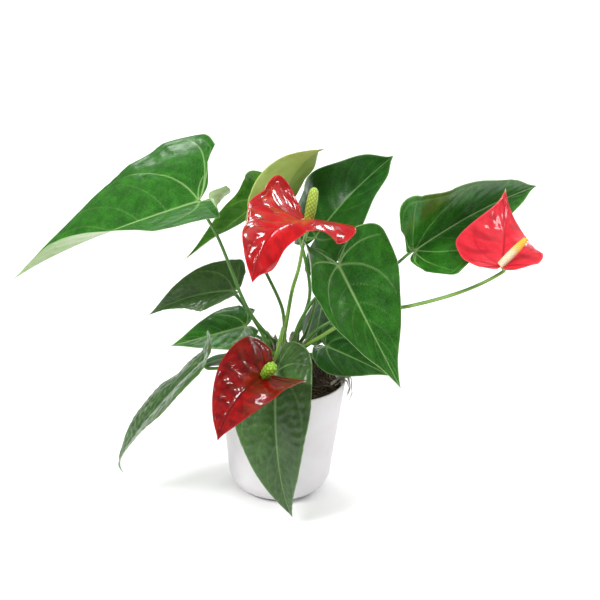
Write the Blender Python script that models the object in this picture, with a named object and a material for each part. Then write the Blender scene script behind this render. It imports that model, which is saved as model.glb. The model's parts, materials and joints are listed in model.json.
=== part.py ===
# A potted anthurium: white cover pot, peaty potting mix, thirteen leaves and three red flowers.
# The origin is the middle of the pot's flat base, +Z is up, and the plant's face looks along -Y.
# Sizes are in millimetres and angles in degrees. The finished model is in metres.

import math

import bpy
import numpy as np

MM = 0.001
GAP = 0.3

POT_HEIGHT = 126.0
POT_RIM_RADIUS = 65.0
POT_SHOULDER_RADIUS = 53.0
POT_SHOULDER_HEIGHT = 25.0
POT_FOOT_RADIUS = 28.0
POT_WALL = 2.0
POT_SEGMENTS = 40
POT_CORNER_STEPS = 5

MIX_EDGE_HEIGHT = 114.0
MIX_MOUND_CENTRE = (-12.0, 34.0)
MIX_MOUND_HEIGHT = 36.0
MIX_MOUND_WIDTH = 34.0
MIX_RINGS = 7
MIX_SEGMENTS = 28

CROWN_CENTRE = (3.0, 13.0)
CROWN_FOOT = 139.0
CROWN_TOP = 152.0
CROWN_RADIUS = 17.0
CROWN_SEGMENTS = 20

BLADE_THICKNESS = 1.2
SPATHE_THICKNESS = 1.4
BLADE_ROWS = 14
BLADE_COLUMNS = 3
MIDRIB_START = 0.38

STEM_STEPS = 14
PETIOLE_RADIUS = 1.9
STALK_BEND = 8.0
SPADIX_CLEARANCE = 0.6
PEDUNCLE_RADIUS = 2.1

# One half of a flat blade, from the stalk round the lobe to the tip: how far along the midrib,
# in lobe lengths behind the stalk and blade lengths ahead of it, and how far out in half widths.
HALF_OUTLINE = (
    (0.00, 0.00),
    (-0.50, 0.07),
    (-0.88, 0.28),
    (-1.00, 0.55),
    (-0.72, 0.86),
    (-0.10, 1.00),
    (0.16, 0.97),
    (0.38, 0.80),
    (0.60, 0.53),
    (0.80, 0.24),
    (0.93, 0.07),
    (1.00, 0.00),
)

# Each blade: where its stalk joins, which way the midrib sets off (heading round Z, rise above
# level, roll about itself), its size, how the midrib bends, and how each half folds and curls.
# Pairs are the left and right half, seen along the midrib with the upper face up.
BLADE_DEFAULTS = dict(
    droop=0,
    sweep=0,
    twist=0,
    lobe_lift=10,
    fold=(12, 12),
    curl=(-15, -15),
    lobe_curl=(0, 0),
    tip_fold=(0, 0),
    tip_fold_from=0.2,
    tip_fold_over=0.8,
    fullness=1.0,
    point=1.0,
    sinus=1.2,
)

LEAVES = {
    "leaf_01": dict(
        at=(-84, -28, 318), heading=201, rise=-13, roll=-44, length=203, halves=(72, 107), lobes=(66, 31),
        droop=43, sweep=-9, twist=15, lobe_lift=68, fold=(48, -2), curl=(4, -50), lobe_curl=(66, -2),
        tip_fold=(34, -10), tip_fold_from=0.26, tip_fold_over=0.44, fullness=0.9, point=0.91, sinus=2.3,
    ),
    "leaf_02": dict(
        at=(-31, 85, 281), heading=185, rise=-41, roll=-1, length=102, halves=(43, 44), lobes=(28, 28),
        droop=0, sweep=-7, twist=10, lobe_lift=30, fold=(14, 17), curl=(-19, 17), lobe_curl=(0, 30),
        tip_fold=(9, 15), fullness=0.85, point=0.82,
    ),
    "leaf_03": dict(
        at=(-5, 50, 299), heading=-52, rise=65, roll=34, length=95, halves=(44, 46), lobes=(31, 33),
        droop=38, sweep=-16, twist=-18, lobe_lift=8, fold=(11, 25), curl=(-40, 8), lobe_curl=(-6, 4),
        tip_fold=(4, 34), fullness=1.1, point=0.95,
    ),
    "leaf_04": dict(
        at=(30, 53, 257), heading=-1, rise=59, roll=21, length=116, halves=(63, 59), lobes=(27, 27),
        droop=38, sweep=10, twist=36, lobe_lift=0, fold=(18, 20), curl=(-30, -35), lobe_curl=(-47, 0),
        tip_fold=(48, 16), fullness=1.02, point=1.45,
    ),
    "leaf_05": dict(
        at=(51, -41, 263), heading=-12, rise=-61, roll=47, length=137, halves=(61, 62), lobes=(24, 41),
        droop=-8, sweep=-3, twist=1, lobe_lift=-8, fold=(19, 12), curl=(-35, 43), lobe_curl=(8, 45),
        tip_fold=(-22, 17), point=0.88, sinus=1.9,
    ),
    "leaf_06": dict(
        at=(126, -6, 268), heading=48, rise=14, roll=58, length=193, halves=(68, 56), lobes=(37, 37),
        droop=-1, sweep=-12, twist=21, lobe_lift=27, fold=(54, 49), curl=(-15, 2), lobe_curl=(-51, 3),
        tip_fold=(-30, 15), fullness=0.91, point=1.16, sinus=1.7,
    ),
    "leaf_07": dict(
        at=(44, 4, 157), heading=-10, rise=-18, roll=11, length=71, halves=(32, 34), lobes=(14, 14),
        droop=7, twist=16, lobe_lift=30, fold=(24, 11), curl=(-28, -30), lobe_curl=(18, 17),
        fullness=1.08,
    ),
    "leaf_08": dict(
        at=(39, 68, 182), heading=-127, rise=-70, roll=-91, length=56, halves=(39, 41), lobes=(18, 18),
        droop=20, sweep=35, twist=35, fold=(17, 21), curl=(-29, -1), tip_fold=(17, -2), point=1.2,
    ),
    "leaf_09": dict(
        at=(-51, 7, 213), heading=152, rise=-13, roll=-31, length=102, halves=(41, 34), lobes=(19, 19),
        droop=3, sweep=30, twist=-34, lobe_lift=27, fold=(28, 37), curl=(-2, -24), lobe_curl=(12, 0),
        tip_fold=(34, 7), sinus=1.6,
    ),
    "leaf_10": dict(
        at=(-40, 45, 159), heading=190, rise=-14, roll=-23, length=81, halves=(35, 35), lobes=(14, 14),
        twist=-6, lobe_lift=18, fold=(13, 14), curl=(0, -34), lobe_curl=(23, -41), tip_fold=(6, -3),
        fullness=1.04, sinus=1.6,
    ),
    "leaf_11": dict(
        at=(-54, -6, 146), heading=187, rise=-8, roll=8, length=46, halves=(19, 18), lobes=(13, 13),
        droop=35, sweep=4, lobe_lift=12, fold=(8, 8), curl=(-20, -15),
    ),
    "leaf_12": dict(
        at=(-76, -60, 163), heading=196, rise=-42, roll=10, length=165, halves=(44, 42), lobes=(30, 30),
        droop=30, sweep=-32, twist=-10, lobe_lift=48, fold=(31, 17), curl=(-38, -39), lobe_curl=(0, 20),
        tip_fold=(-4, 20), fullness=1.15, point=0.95,
    ),
    "leaf_13": dict(
        at=(-5, -64, 157), heading=-91, rise=-54, roll=17, length=159, halves=(43, 44), lobes=(33, 33),
        droop=65, sweep=-3, twist=6, lobe_lift=29, fold=(25, 20), curl=(-11, -23), lobe_curl=(-15, 0),
        tip_fold=(-3, 13), fullness=1.07, point=1.04, sinus=0.95,
    ),
}

SPATHES = {
    "spathe_1": dict(
        at=(21, -50, 309), heading=235, rise=22, roll=8, length=128, halves=(46, 66), lobes=(36, 26),
        droop=73, sweep=13, twist=0, lobe_lift=-6, fold=(27, 9), curl=(-112, 66), lobe_curl=(58, 12),
        tip_fold=(-75, 55), tip_fold_from=0.39, tip_fold_over=0.45, fullness=0.76, point=1.7, sinus=1.6,
    ),
    "spathe_2": dict(
        at=(-16, -102, 171), heading=238, rise=5, roll=-34, length=99, halves=(44, 41), lobes=(24, 31),
        droop=33, sweep=31, twist=22, lobe_lift=-6, fold=(11, 19), curl=(60, 0), lobe_curl=(-4, -20),
        tip_fold=(-18, -15), point=1.12,
    ),
    "spathe_3": dict(
        at=(210, -27, 263), heading=79, rise=11, roll=-8, length=104, halves=(44, 35), lobes=(20, 20),
        droop=-43, sweep=9, twist=24, lobe_lift=11, fold=(25, 17), curl=(-5, -28), lobe_curl=(0, 24),
        tip_fold=(16, -69), fullness=1.15, point=1.15, sinus=1.4,
    ),
}

# Where each stem leaves the crown (distance out and bearing), and the places it passes on its way
# to its blade. The last step, to just under the blade, is worked out from the blade.
STEMS = {
    "petiole_01": dict(seat=(9, 175), via=((-16, 7, 166), (-38, -6, 203), (-66, -18, 278)), blade="leaf_01"),
    "petiole_02": dict(
        seat=(5, 110), via=((1, 15, 166), (-3, 26, 190), (-20, 45, 219), (-38, 64, 246)), blade="leaf_02",
    ),
    "petiole_03": dict(
        seat=(9, 45), via=((16, 19, 172), (25, 11, 210), (20, 8, 246), (8, 28, 280)), blade="leaf_03",
    ),
    "petiole_04": dict(seat=(14, 35), via=((24, 21, 168), (32, 20, 205), (34, 34, 238)), blade="leaf_04"),
    "petiole_05": dict(seat=(9, -35), via=((13, 5, 174), (24, -4, 203), (38, -14, 228)), blade="leaf_05"),
    "petiole_06": dict(seat=(15, 12), via=((32, 8, 172), (62, 10, 194), (100, 10, 236)), blade="leaf_06"),
    "petiole_07": dict(seat=(15, -48), via=((26, 2, 149),), blade="leaf_07"),
    "petiole_08": dict(seat=(15, 65), via=((14, 42, 154), (26, 66, 166)), blade="leaf_08"),
    "petiole_09": dict(seat=(15, 186), via=((-22, 12, 166), (-36, 10, 190)), blade="leaf_09"),
    "petiole_10": dict(seat=(15, 150), via=((-22, 26, 154),), blade="leaf_10"),
    "petiole_11": dict(seat=(15.5, 208), via=((-26, 4, 146),), blade="leaf_11"),
    "petiole_12": dict(seat=(15.5, 230), via=((-18, -10, 148), (-50, -42, 153)), blade="leaf_12"),
    "petiole_13": dict(seat=(14, -105), via=((-3, -22, 156),), blade="leaf_13"),
    "peduncle_1": dict(
        seat=(5, -150), via=((1, 5, 172), (7, -12, 222), (13, -30, 254), (17, -44, 286)), blade="spathe_1",
    ),
    "peduncle_2": dict(seat=(9, -100), via=((0, -5, 180), (-3, -38, 180), (-7, -66, 173)), blade="spathe_2"),
    "peduncle_3": dict(
        seat=(14, -15), via=((31, 0, 165), (78, -4, 198), (126, -12, 212), (176, -18, 232)), blade="spathe_3",
    ),
}

# Each spadix: its length, how thick it is at the foot and top, and which way it points.
SPADICES = {
    "spadix_1": dict(blade="spathe_1", length=34, radii=(4.4, 5.2, 5.0, 3.8), heading=-42, rise=80),
    "spadix_2": dict(blade="spathe_2", length=28, radii=(5.0, 6.2, 6.6, 5.6), heading=-68, rise=43),
    "spadix_3": dict(blade="spathe_3", length=36, radii=(4.0, 4.2, 3.8, 2.6), heading=-9, rise=53),
}

COLOURS = {
    "pot_white": ((0.80, 0.79, 0.81), 0.35),
    "peat_mix": ((0.045, 0.03, 0.022), 0.95),
    "crown_brown": ((0.16, 0.17, 0.06), 0.8),
    "leaf_green": ((0.03, 0.16, 0.02), 0.35),
    "young_leaf": ((0.22, 0.36, 0.06), 0.45),
    "stem_green": ((0.13, 0.25, 0.05), 0.45),
    "spathe_red": ((0.68, 0.01, 0.01), 0.2),
    "spathe_dark": ((0.28, 0.006, 0.006), 0.2),
    "spathe_coral": ((0.85, 0.05, 0.06), 0.35),
    "spadix_green": ((0.42, 0.55, 0.08), 0.6),
    "spadix_yellow": ((0.85, 0.62, 0.2), 0.6),
    "dry_sheath": ((0.48, 0.44, 0.38), 0.9),
}


def clear_scene():
    for item in list(bpy.data.objects):
        bpy.data.objects.remove(item)


def surface_material(name, colour, roughness, metallic=0.0):
    material = bpy.data.materials.new(name)
    material.use_nodes = True
    shader = material.node_tree.nodes["Principled BSDF"]
    shader.inputs["Base Color"].default_value = (*colour, 1.0)
    shader.inputs["Roughness"].default_value = roughness
    shader.inputs["Metallic"].default_value = metallic
    material.diffuse_color = (*colour, 1.0)
    return material


def mesh_object(name, points, faces, material, thickness=0.0):
    mesh = bpy.data.meshes.new(name)
    mesh.from_pydata([tuple(MM * c for c in point) for point in points], [], faces)
    mesh.materials.append(material)
    mesh.shade_smooth()
    item = bpy.data.objects.new(name, mesh)
    bpy.context.collection.objects.link(item)
    if thickness:
        shell = item.modifiers.new("Blade thickness", "SOLIDIFY")
        shell.thickness = thickness * MM
        shell.offset = 0.0
        shell.use_even_offset = False
    return item


def smooth_curve(points, count):
    """Points at equal steps along a smooth curve through the given ones."""
    points = np.asarray(points, float)
    steps = np.sqrt(np.linalg.norm(np.diff(points, axis=0), axis=1))
    knots = np.concatenate([[0.0], np.cumsum(steps)])
    slopes = np.empty_like(points)
    slopes[1:-1] = (points[2:] - points[:-2]) / (knots[2:] - knots[:-2])[:, None]
    slopes[0] = (points[1] - points[0]) / (knots[1] - knots[0])
    slopes[-1] = (points[-1] - points[-2]) / (knots[-1] - knots[-2])
    at = np.linspace(0.0, knots[-1], count)
    span = np.clip(np.searchsorted(knots, at, side="right") - 1, 0, len(points) - 2)
    width = (knots[span + 1] - knots[span])[:, None]
    u = (at[:, None] - knots[span][:, None]) / width
    return (
        (2 * u**3 - 3 * u**2 + 1) * points[span]
        + (u**3 - 2 * u**2 + u) * width * slopes[span]
        + (3 * u**2 - 2 * u**3) * points[span + 1]
        + (u**3 - u**2) * width * slopes[span + 1]
    )


def starting_axes(heading, rise, roll):
    """The midrib's direction, the upper face's normal and the direction of the left half."""
    turn, lift, bank = np.radians([heading, rise, roll])
    ahead = np.array([math.cos(turn) * math.cos(lift), math.sin(turn) * math.cos(lift), math.sin(lift)])
    level = np.array([-math.cos(turn) * math.sin(lift), -math.sin(turn) * math.sin(lift), math.cos(lift)])
    left = np.cross(level, ahead)
    return (
        ahead,
        level * math.cos(bank) - left * math.sin(bank),
        left * math.cos(bank) + level * math.sin(bank),
    )


def turned_pair(one, other, angle):
    """Turns two square axes in their own plane, the first toward the second."""
    return one * math.cos(angle) + other * math.sin(angle), other * math.cos(angle) - one * math.sin(angle)


def bend_midrib(axes, length, steps, droop, sweep, twist, gather=0.0):
    """Marches along the midrib, turning its axes a little at each step."""
    ahead, up, left = axes
    place = np.zeros(3)
    frames = [(place, up, left)]
    for i in range(steps):
        weight = 1.0 + gather * ((i + 0.5) / steps - 0.5)
        down, side, spin = np.radians([droop * weight, sweep, twist]) / steps
        ahead, up = turned_pair(ahead, up, -down)
        ahead, left = turned_pair(ahead, left, side)
        left, up = turned_pair(left, up, spin)
        place = place + ahead * (length / steps)
        frames.append((place, up, left))
    return frames


class BladeShape:
    """Turns places on the flat blade into places on the bent, folded and curled one."""

    def __init__(self, **spec):
        self.spec = {**BLADE_DEFAULTS, **spec}
        s = self.spec
        axes = starting_axes(s["heading"], s["rise"], s["roll"])
        lobes = max(s["lobes"]) * 1.02
        front = bend_midrib(axes, s["length"], 40, s["droop"], s["sweep"], s["twist"], gather=0.6)
        rear = bend_midrib(axes, -lobes, 16, s["lobe_lift"], 0.0, 0.0)
        frames = rear[:0:-1] + front
        self.along = np.concatenate([np.linspace(-lobes, 0.0, 17)[:-1], np.linspace(0.0, s["length"], 41)])
        self.places = np.array([f[0] for f in frames]) + np.array(s["at"], float)
        self.ups = np.array([f[1] for f in frames])
        self.lefts = np.array([f[2] for f in frames])

    def base_axes(self):
        """The stalk's place, the upper face's normal there and the direction of the left half."""
        base = int(np.searchsorted(self.along, 0.0))
        return self.places[base], self.ups[base], self.lefts[base]

    def outline(self, half, count):
        s = self.spec
        lobe, width = s["lobes"][half], s["halves"][half]
        points = []
        for along, out in HALF_OUTLINE:
            if -1.0 < along < -0.4:
                reach = s["sinus"] if out < 0.5 else 1.0
            elif 0.1 < along < 0.7:
                reach = s["fullness"]
            elif along > 0.7:
                reach = s["point"]
            else:
                reach = 1.0
            points.append((along * (lobe if along < 0 else s["length"]), out * width * reach))
        return smooth_curve(points, count)

    def at(self, along, out, half):
        """The place and the upper face's normal at a flat place on one half."""
        s = self.spec
        side = 1.0 if half == 0 else -1.0
        toward_tip = np.clip((along / s["length"] - s["tip_fold_from"]) / s["tip_fold_over"], 0.0, 1.0)
        behind = min(max(-along / s["lobes"][half], 0.0), 1.0)
        start = math.radians(s["fold"][half] + s["tip_fold"][half] * toward_tip)
        bend = math.radians(s["curl"][half] + s["lobe_curl"][half] * behind) / s["halves"][half]
        bend = bend if abs(bend) > 1e-6 else 1e-6
        across = (math.sin(start + bend * out) - math.sin(start)) / bend
        rise = (math.cos(start) - math.cos(start + bend * out)) / bend
        place, up, left = (
            np.array([np.interp(along, self.along, table[:, axis]) for axis in range(3)])
            for table in (self.places, self.ups, self.lefts)
        )
        return place + left * (side * across) + up * rise


def blade_surface(shape, rows, columns):
    """A grid over both halves that shares the midrib: points and faces, upper face out."""
    points, faces, found = [], [], {}

    def vertex(along, out, half):
        key = (round(along, 3), round(out, 3), half if out > 0.001 else 2)
        if key not in found:
            found[key] = len(points)
            points.append(shape.at(along, max(out, 0.0), half))
        return found[key]

    for half in (0, 1):
        margin = shape.outline(half, rows)
        grid = []
        for row, (along, out) in enumerate(margin):
            fraction = row / (rows - 1)
            root = shape.spec["length"] * max((fraction - MIDRIB_START) / (1.0 - MIDRIB_START), 0.0) ** 1.15
            grid.append([
                vertex(root + (along - root) * c / columns, out * c / columns, half)
                for c in range(columns + 1)
            ])
        for first, second in zip(grid, grid[1:]):
            for c in range(columns):
                corners = (first[c], first[c + 1], second[c + 1], second[c])
                face = tuple(dict.fromkeys(corners))
                if len(face) > 2:
                    faces.append(face if half == 1 else face[::-1])
    return points, faces


def blade(name, material, thickness, shape):
    points, faces = blade_surface(shape, BLADE_ROWS, BLADE_COLUMNS)
    return mesh_object(name, points, faces, material, thickness)


def stem(name, material, route, radii):
    """A tapering round stem along a smooth route, with closed ends."""
    line = smooth_curve(route, STEM_STEPS + 1)
    thickness = np.interp(np.linspace(0.0, 1.0, STEM_STEPS + 1), np.linspace(0.0, 1.0, len(radii)), radii)
    curve = bpy.data.curves.new(name, "CURVE")
    curve.dimensions = "3D"
    curve.bevel_depth = MM
    curve.bevel_resolution = 1
    curve.use_fill_caps = True
    spline = curve.splines.new("POLY")
    spline.points.add(STEM_STEPS)
    for knot, place, radius in zip(spline.points, line, thickness):
        knot.co = (*(MM * c for c in place), 1.0)
        knot.radius = radius
    curve.materials.append(material)
    item = bpy.data.objects.new(name, curve)
    bpy.context.collection.objects.link(item)
    return item


def turned(name, profile, segments, material):
    """A closed solid of revolution from a profile that starts and ends on the axis."""
    points = []
    rings = []
    for radius, height in profile:
        if radius == 0.0:
            rings.append([len(points)] * segments)
            points.append((0.0, 0.0, height))
            continue
        rings.append(list(range(len(points), len(points) + segments)))
        for i in range(segments):
            turn = 2.0 * math.pi * i / segments
            points.append((radius * math.cos(turn), radius * math.sin(turn), height))
    faces = []
    for low, high in zip(rings, rings[1:]):
        for i in range(segments):
            j = (i + 1) % segments
            face = tuple(dict.fromkeys((low[i], low[j], high[j], high[i])))
            if len(face) > 2:
                faces.append(face)
    return mesh_object(name, points, faces, material)


def pot_profile(inset):
    """The pot's outline from the middle of its base to its rim, moved in by inset."""
    profile = [(0.0, inset)]
    for step in range(POT_CORNER_STEPS + 1):
        turn = math.radians(90.0 * step / POT_CORNER_STEPS)
        radius = POT_FOOT_RADIUS + (POT_SHOULDER_RADIUS - POT_FOOT_RADIUS) * math.sin(turn)
        height = POT_SHOULDER_HEIGHT * (1.0 - math.cos(turn))
        profile.append((radius - inset * math.sin(turn), height + inset * math.cos(turn)))
    return profile


def wall_radius(height, inset):
    lean = (POT_RIM_RADIUS - POT_SHOULDER_RADIUS) / (POT_HEIGHT - POT_SHOULDER_HEIGHT)
    return POT_SHOULDER_RADIUS + lean * (height - POT_SHOULDER_HEIGHT) - inset


def cover_pot(material):
    outside = pot_profile(0.0) + [(POT_RIM_RADIUS, POT_HEIGHT)]
    inside = pot_profile(POT_WALL) + [(POT_RIM_RADIUS - POT_WALL, POT_HEIGHT)]
    return turned("cover_pot", outside + inside[::-1], POT_SEGMENTS, material)


def mix_height(x, y):
    """The potting mix is heaped behind the crown and level around the crown's foot."""
    ripple = 1.1 * math.sin(0.31 * x + 0.6) * math.cos(0.27 * y) + 0.7 * math.sin(0.53 * (x + y))
    heap = math.hypot(x - MIX_MOUND_CENTRE[0], y - MIX_MOUND_CENTRE[1]) / MIX_MOUND_WIDTH
    height = MIX_EDGE_HEIGHT + ripple + MIX_MOUND_HEIGHT * math.exp(-heap * heap)
    seat = math.hypot(x - CROWN_CENTRE[0], y - CROWN_CENTRE[1]) - CROWN_RADIUS
    level = min(max(1.0 - (seat - 6.0) / 10.0, 0.0), 1.0)
    return height + (CROWN_FOOT - GAP - height) * level


def potting_mix(material):
    inset = POT_WALL + GAP
    profile = pot_profile(inset) + [(wall_radius(MIX_EDGE_HEIGHT, inset), MIX_EDGE_HEIGHT)]
    edge = profile[-1][0]
    rings = len(profile)
    for ring in range(1, MIX_RINGS):
        profile.append((edge * (1.0 - ring / MIX_RINGS), MIX_EDGE_HEIGHT))
    profile.append((0.0, MIX_EDGE_HEIGHT))
    item = turned("potting_mix", profile, POT_SEGMENTS, material)
    first = 1 + (rings - 1) * POT_SEGMENTS
    for vertex in item.data.vertices[first:]:
        vertex.co.z = MM * mix_height(vertex.co.x / MM, vertex.co.y / MM)
    return item


def dome_height(radius):
    shoulder = CROWN_FOOT + 4.0
    return shoulder + (CROWN_TOP - shoulder) * math.sqrt(max(1.0 - (radius / CROWN_RADIUS) ** 2, 0.0))


def crown(material):
    radii = [CROWN_RADIUS * math.cos(math.radians(90.0 * step / 6)) for step in range(6)]
    profile = [(0.0, CROWN_FOOT), (CROWN_RADIUS, CROWN_FOOT)]
    profile += [(radius, dome_height(radius)) for radius in radii]
    profile.append((0.0, CROWN_TOP))
    item = turned("crown", profile, CROWN_SEGMENTS, material)
    item.location = (MM * CROWN_CENTRE[0], MM * CROWN_CENTRE[1], 0.0)
    return item


def seat_route(radius, bearing):
    """Where a stem stands on the crown's dome, and a place a little further out along its axis."""
    turn = math.radians(bearing)
    slope = math.atan2(
        (CROWN_TOP - CROWN_FOOT - 4.0) * radius,
        CROWN_RADIUS * math.sqrt(CROWN_RADIUS**2 - radius**2),
    )
    out = np.array([math.cos(turn) * math.sin(slope), math.sin(turn) * math.sin(slope), math.cos(slope)])
    foot = np.array([
        CROWN_CENTRE[0] + radius * math.cos(turn),
        CROWN_CENTRE[1] + radius * math.sin(turn),
        dome_height(radius),
    ])
    return foot + 0.6 * out, foot + 6.0 * out


def stalk(name, material, radius, seat, via, shape):
    """A leaf or flower stalk from the crown to just under its blade."""
    start, rise = seat_route(*seat)
    place, up, _ = shape.base_axes()
    end = place - up * (0.5 * SPATHE_THICKNESS + GAP + 0.3)
    route = [start, rise, *via, place - up * STALK_BEND, end]
    return stem(name, material, route, (1.25 * radius, radius, 0.9 * radius, 0.8 * radius))


def spadix(name, material, shape, length, radii, heading, rise):
    """A blunt rod of tiny flowers that stands on the spathe's upper face."""
    profile = [(0.0, 0.0)]
    steps = 8
    for step in range(steps + 1):
        along = step / steps
        cap = math.sqrt(1.0 - min(max((along - 0.85) / 0.15, 0.0), 1.0) ** 2)
        radius = float(np.interp(along, np.linspace(0.0, 1.0, len(radii)), radii)) * cap
        if step == steps:
            radius = 0.0
        profile.append((radius, length * along))
    item = turned(name, profile, 12, material)
    place, up, _ = shape.base_axes()
    ahead = starting_axes(heading, rise, 0)[0]
    lift = 0.5 * SPATHE_THICKNESS + GAP + radii[0] * math.sqrt(max(1.0 - float(ahead @ up) ** 2, 0.0))
    lift += SPADIX_CLEARANCE
    item.location = tuple(MM * c for c in place + up * lift + ahead * GAP)
    item.rotation_euler = (0.0, math.radians(90.0 - rise), math.radians(heading))
    return item


def dried_sheath(material):
    """A papery old leaf sheath that lies over the rim at the right."""
    line = smooth_curve([(50, -6, 121), (58, -7, 126), (64.5, -8, 129.4), (68.2, -9, 122), (67, -11, 104)], 9)
    points = []
    for i, place in enumerate(line):
        half = 4.5 - 0.35 * i
        curl = 0.8 * math.sin(1.1 * i)
        points.append(tuple(place + np.array([curl * 0.3, half, 0.0])))
        points.append(tuple(place + np.array([0.4, 0.0, 0.0])))
        points.append(tuple(place + np.array([-curl * 0.3, -half, 0.0])))
    faces = []
    for i in range(len(line) - 1):
        for c in (0, 1):
            a = 3 * i + c
            faces.append((a, a + 1, a + 4, a + 3))
    return mesh_object("dried_sheath", points, faces, material, 0.8)


def build():
    clear_scene()
    paint = {name: surface_material(name, *look) for name, look in COLOURS.items()}
    cover_pot(paint["pot_white"])
    potting_mix(paint["peat_mix"])
    crown(paint["crown_brown"])
    shapes = {}
    for name, spec in LEAVES.items():
        shapes[name] = BladeShape(**spec)
        look = "young_leaf" if name == "leaf_03" else "leaf_green"
        blade(name, paint[look], BLADE_THICKNESS, shapes[name])
    for name, look in zip(SPATHES, ("spathe_red", "spathe_dark", "spathe_coral")):
        shapes[name] = BladeShape(**SPATHES[name])
        blade(name, paint[look], SPATHE_THICKNESS, shapes[name])
    for name, spec in STEMS.items():
        radius = PEDUNCLE_RADIUS if name.startswith("peduncle") else PETIOLE_RADIUS
        stalk(name, paint["stem_green"], radius, spec["seat"], spec["via"], shapes[spec["blade"]])
    for name, spec in SPADICES.items():
        spec = dict(spec)
        look = "spadix_yellow" if name == "spadix_3" else "spadix_green"
        spadix(name, paint[look], shapes[spec.pop("blade")], **spec)
    dried_sheath(paint["dry_sheath"])


build()
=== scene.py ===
import json
import math

import bmesh
import bpy
import numpy as np
from mathutils import Matrix, Vector

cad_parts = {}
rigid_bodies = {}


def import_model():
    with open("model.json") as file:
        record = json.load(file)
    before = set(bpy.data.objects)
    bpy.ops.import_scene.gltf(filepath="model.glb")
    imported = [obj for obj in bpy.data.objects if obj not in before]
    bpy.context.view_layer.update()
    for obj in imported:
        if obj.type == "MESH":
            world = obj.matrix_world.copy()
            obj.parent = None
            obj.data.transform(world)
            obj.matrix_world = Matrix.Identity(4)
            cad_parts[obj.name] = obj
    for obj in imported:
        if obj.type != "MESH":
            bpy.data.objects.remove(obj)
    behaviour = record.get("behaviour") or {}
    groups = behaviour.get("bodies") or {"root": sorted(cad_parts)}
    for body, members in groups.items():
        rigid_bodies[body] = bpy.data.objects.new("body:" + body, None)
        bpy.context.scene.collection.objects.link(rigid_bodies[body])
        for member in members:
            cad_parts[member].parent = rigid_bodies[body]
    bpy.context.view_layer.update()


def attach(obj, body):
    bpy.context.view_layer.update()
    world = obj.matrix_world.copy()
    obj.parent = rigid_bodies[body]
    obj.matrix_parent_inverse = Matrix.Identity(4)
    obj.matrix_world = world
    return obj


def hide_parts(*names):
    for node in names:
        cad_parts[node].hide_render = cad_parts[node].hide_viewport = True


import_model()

mm = 0.001
detail = 1.0  # how fine the grids are


def linear(hexColour):
    values = [int(hexColour[i:i + 2], 16) / 255 for i in (1, 3, 5)]
    return tuple(v / 12.92 if v <= 0.04045 else ((v + 0.055) / 1.055) ** 2.4 for v in values) + (1.0,)


def smoothStep(low, high, x):
    t = np.clip((np.asarray(x, float) - low) / (high - low), 0.0, 1.0)
    return t * t * (3.0 - 2.0 * t)


def ripple(x, y, pitch, seed, waves=8):
    # Soft unevenness between about -1 and 1, with bumps about one pitch across.
    random = np.random.RandomState(seed)
    total = 0.0
    for _ in range(waves):
        turn, phase = random.uniform(0.0, 2.0 * math.pi, 2)
        wave = math.pi / (pitch * random.uniform(0.7, 1.5))
        total = total + np.sin(wave * (x * math.cos(turn) + y * math.sin(turn)) + phase)
    return total / math.sqrt(waves)


def makeMesh(name, points, faces, material, marks=None):
    # points in millimetres; marks are numbers or vectors for each point, which the material reads by name.
    mesh = bpy.data.meshes.new(name)
    mesh.from_pydata((np.asarray(points, float) * mm).tolist(), [], faces)
    for mark, values in (marks or {}).items():
        values = np.asarray(values, np.float32)
        kind, field = ("FLOAT_VECTOR", "vector") if values.ndim == 2 else ("FLOAT", "value")
        mesh.attributes.new(mark, kind, "POINT").data.foreach_set(field, values.ravel())
    mesh.materials.append(material)
    mesh.shade_smooth()
    item = bpy.data.objects.new(name, mesh)
    bpy.context.scene.collection.objects.link(item)
    return item


def gridFaces(rows, columns, first=0, closed=False):
    # Quads over a grid of points stored row by row; closed joins the last column to the first.
    faces = []
    for row in range(rows - 1):
        for column in range(columns if closed else columns - 1):
            a = first + row * columns + column
            b = first + row * columns + (column + 1) % columns
            faces.append((a, b, b + columns, a + columns))
    return faces


def tubeFaces(rings, segments, first=0):
    # Rings of points joined into a tube, with a flat cap at both ends.
    faces = gridFaces(rings, segments, first, closed=True)
    faces.append(tuple(range(first, first + segments))[::-1])
    faces.append(tuple(range(first + (rings - 1) * segments, first + rings * segments)))
    return faces


def turnedFaces(rings, segments):
    # Rings of points between one point at each end of the axis, which fans of triangles join to them.
    faces = gridFaces(rings, segments, 1, closed=True)
    last = 1 + (rings - 1) * segments
    for i in range(segments):
        j = (i + 1) % segments
        faces.append((0, 1 + j, 1 + i))
        faces.append((last + segments, last + i, last + j))
    return faces


def turnsRound(count):
    return np.linspace(0.0, 2.0 * math.pi, count, endpoint=False)


def standFor(item, node):
    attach(item, "root")
    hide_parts(node)
    return item


def fillSockets(node, inputs):
    # Sets or links a node's inputs by name or number. A node given as a value means its first output.
    for socket, value in inputs.items():
        if isinstance(value, bpy.types.Node):
            value = value.outputs[0]
        if isinstance(value, bpy.types.NodeSocket):
            node.id_data.links.new(value, node.inputs[socket])
        else:
            node.inputs[socket].default_value = value


def addNode(tree, kind, inputs=None, **settings):
    # Adds one node with its settings and links; stops fills a colour ramp.
    node = tree.nodes.new(kind)
    for stop, (place, colour) in enumerate(settings.pop("stops", ())):
        ramp = node.color_ramp.elements
        element = ramp[stop] if stop < len(ramp) else ramp.new(place)
        element.position = place
        element.color = linear(colour)
    for setting, value in settings.items():
        setattr(node, setting, value)
    fillSockets(node, inputs or {})
    return node


def newMaterial(name, *marks):
    # marks are the mesh's own values that the material reads.
    material = bpy.data.materials.new(name)
    material.use_nodes = True
    tree = material.node_tree
    read = {mark: addNode(tree, "ShaderNodeAttribute", attribute_name=mark).outputs for mark in marks}
    return material, tree, tree.nodes["Principled BSDF"], read


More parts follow.
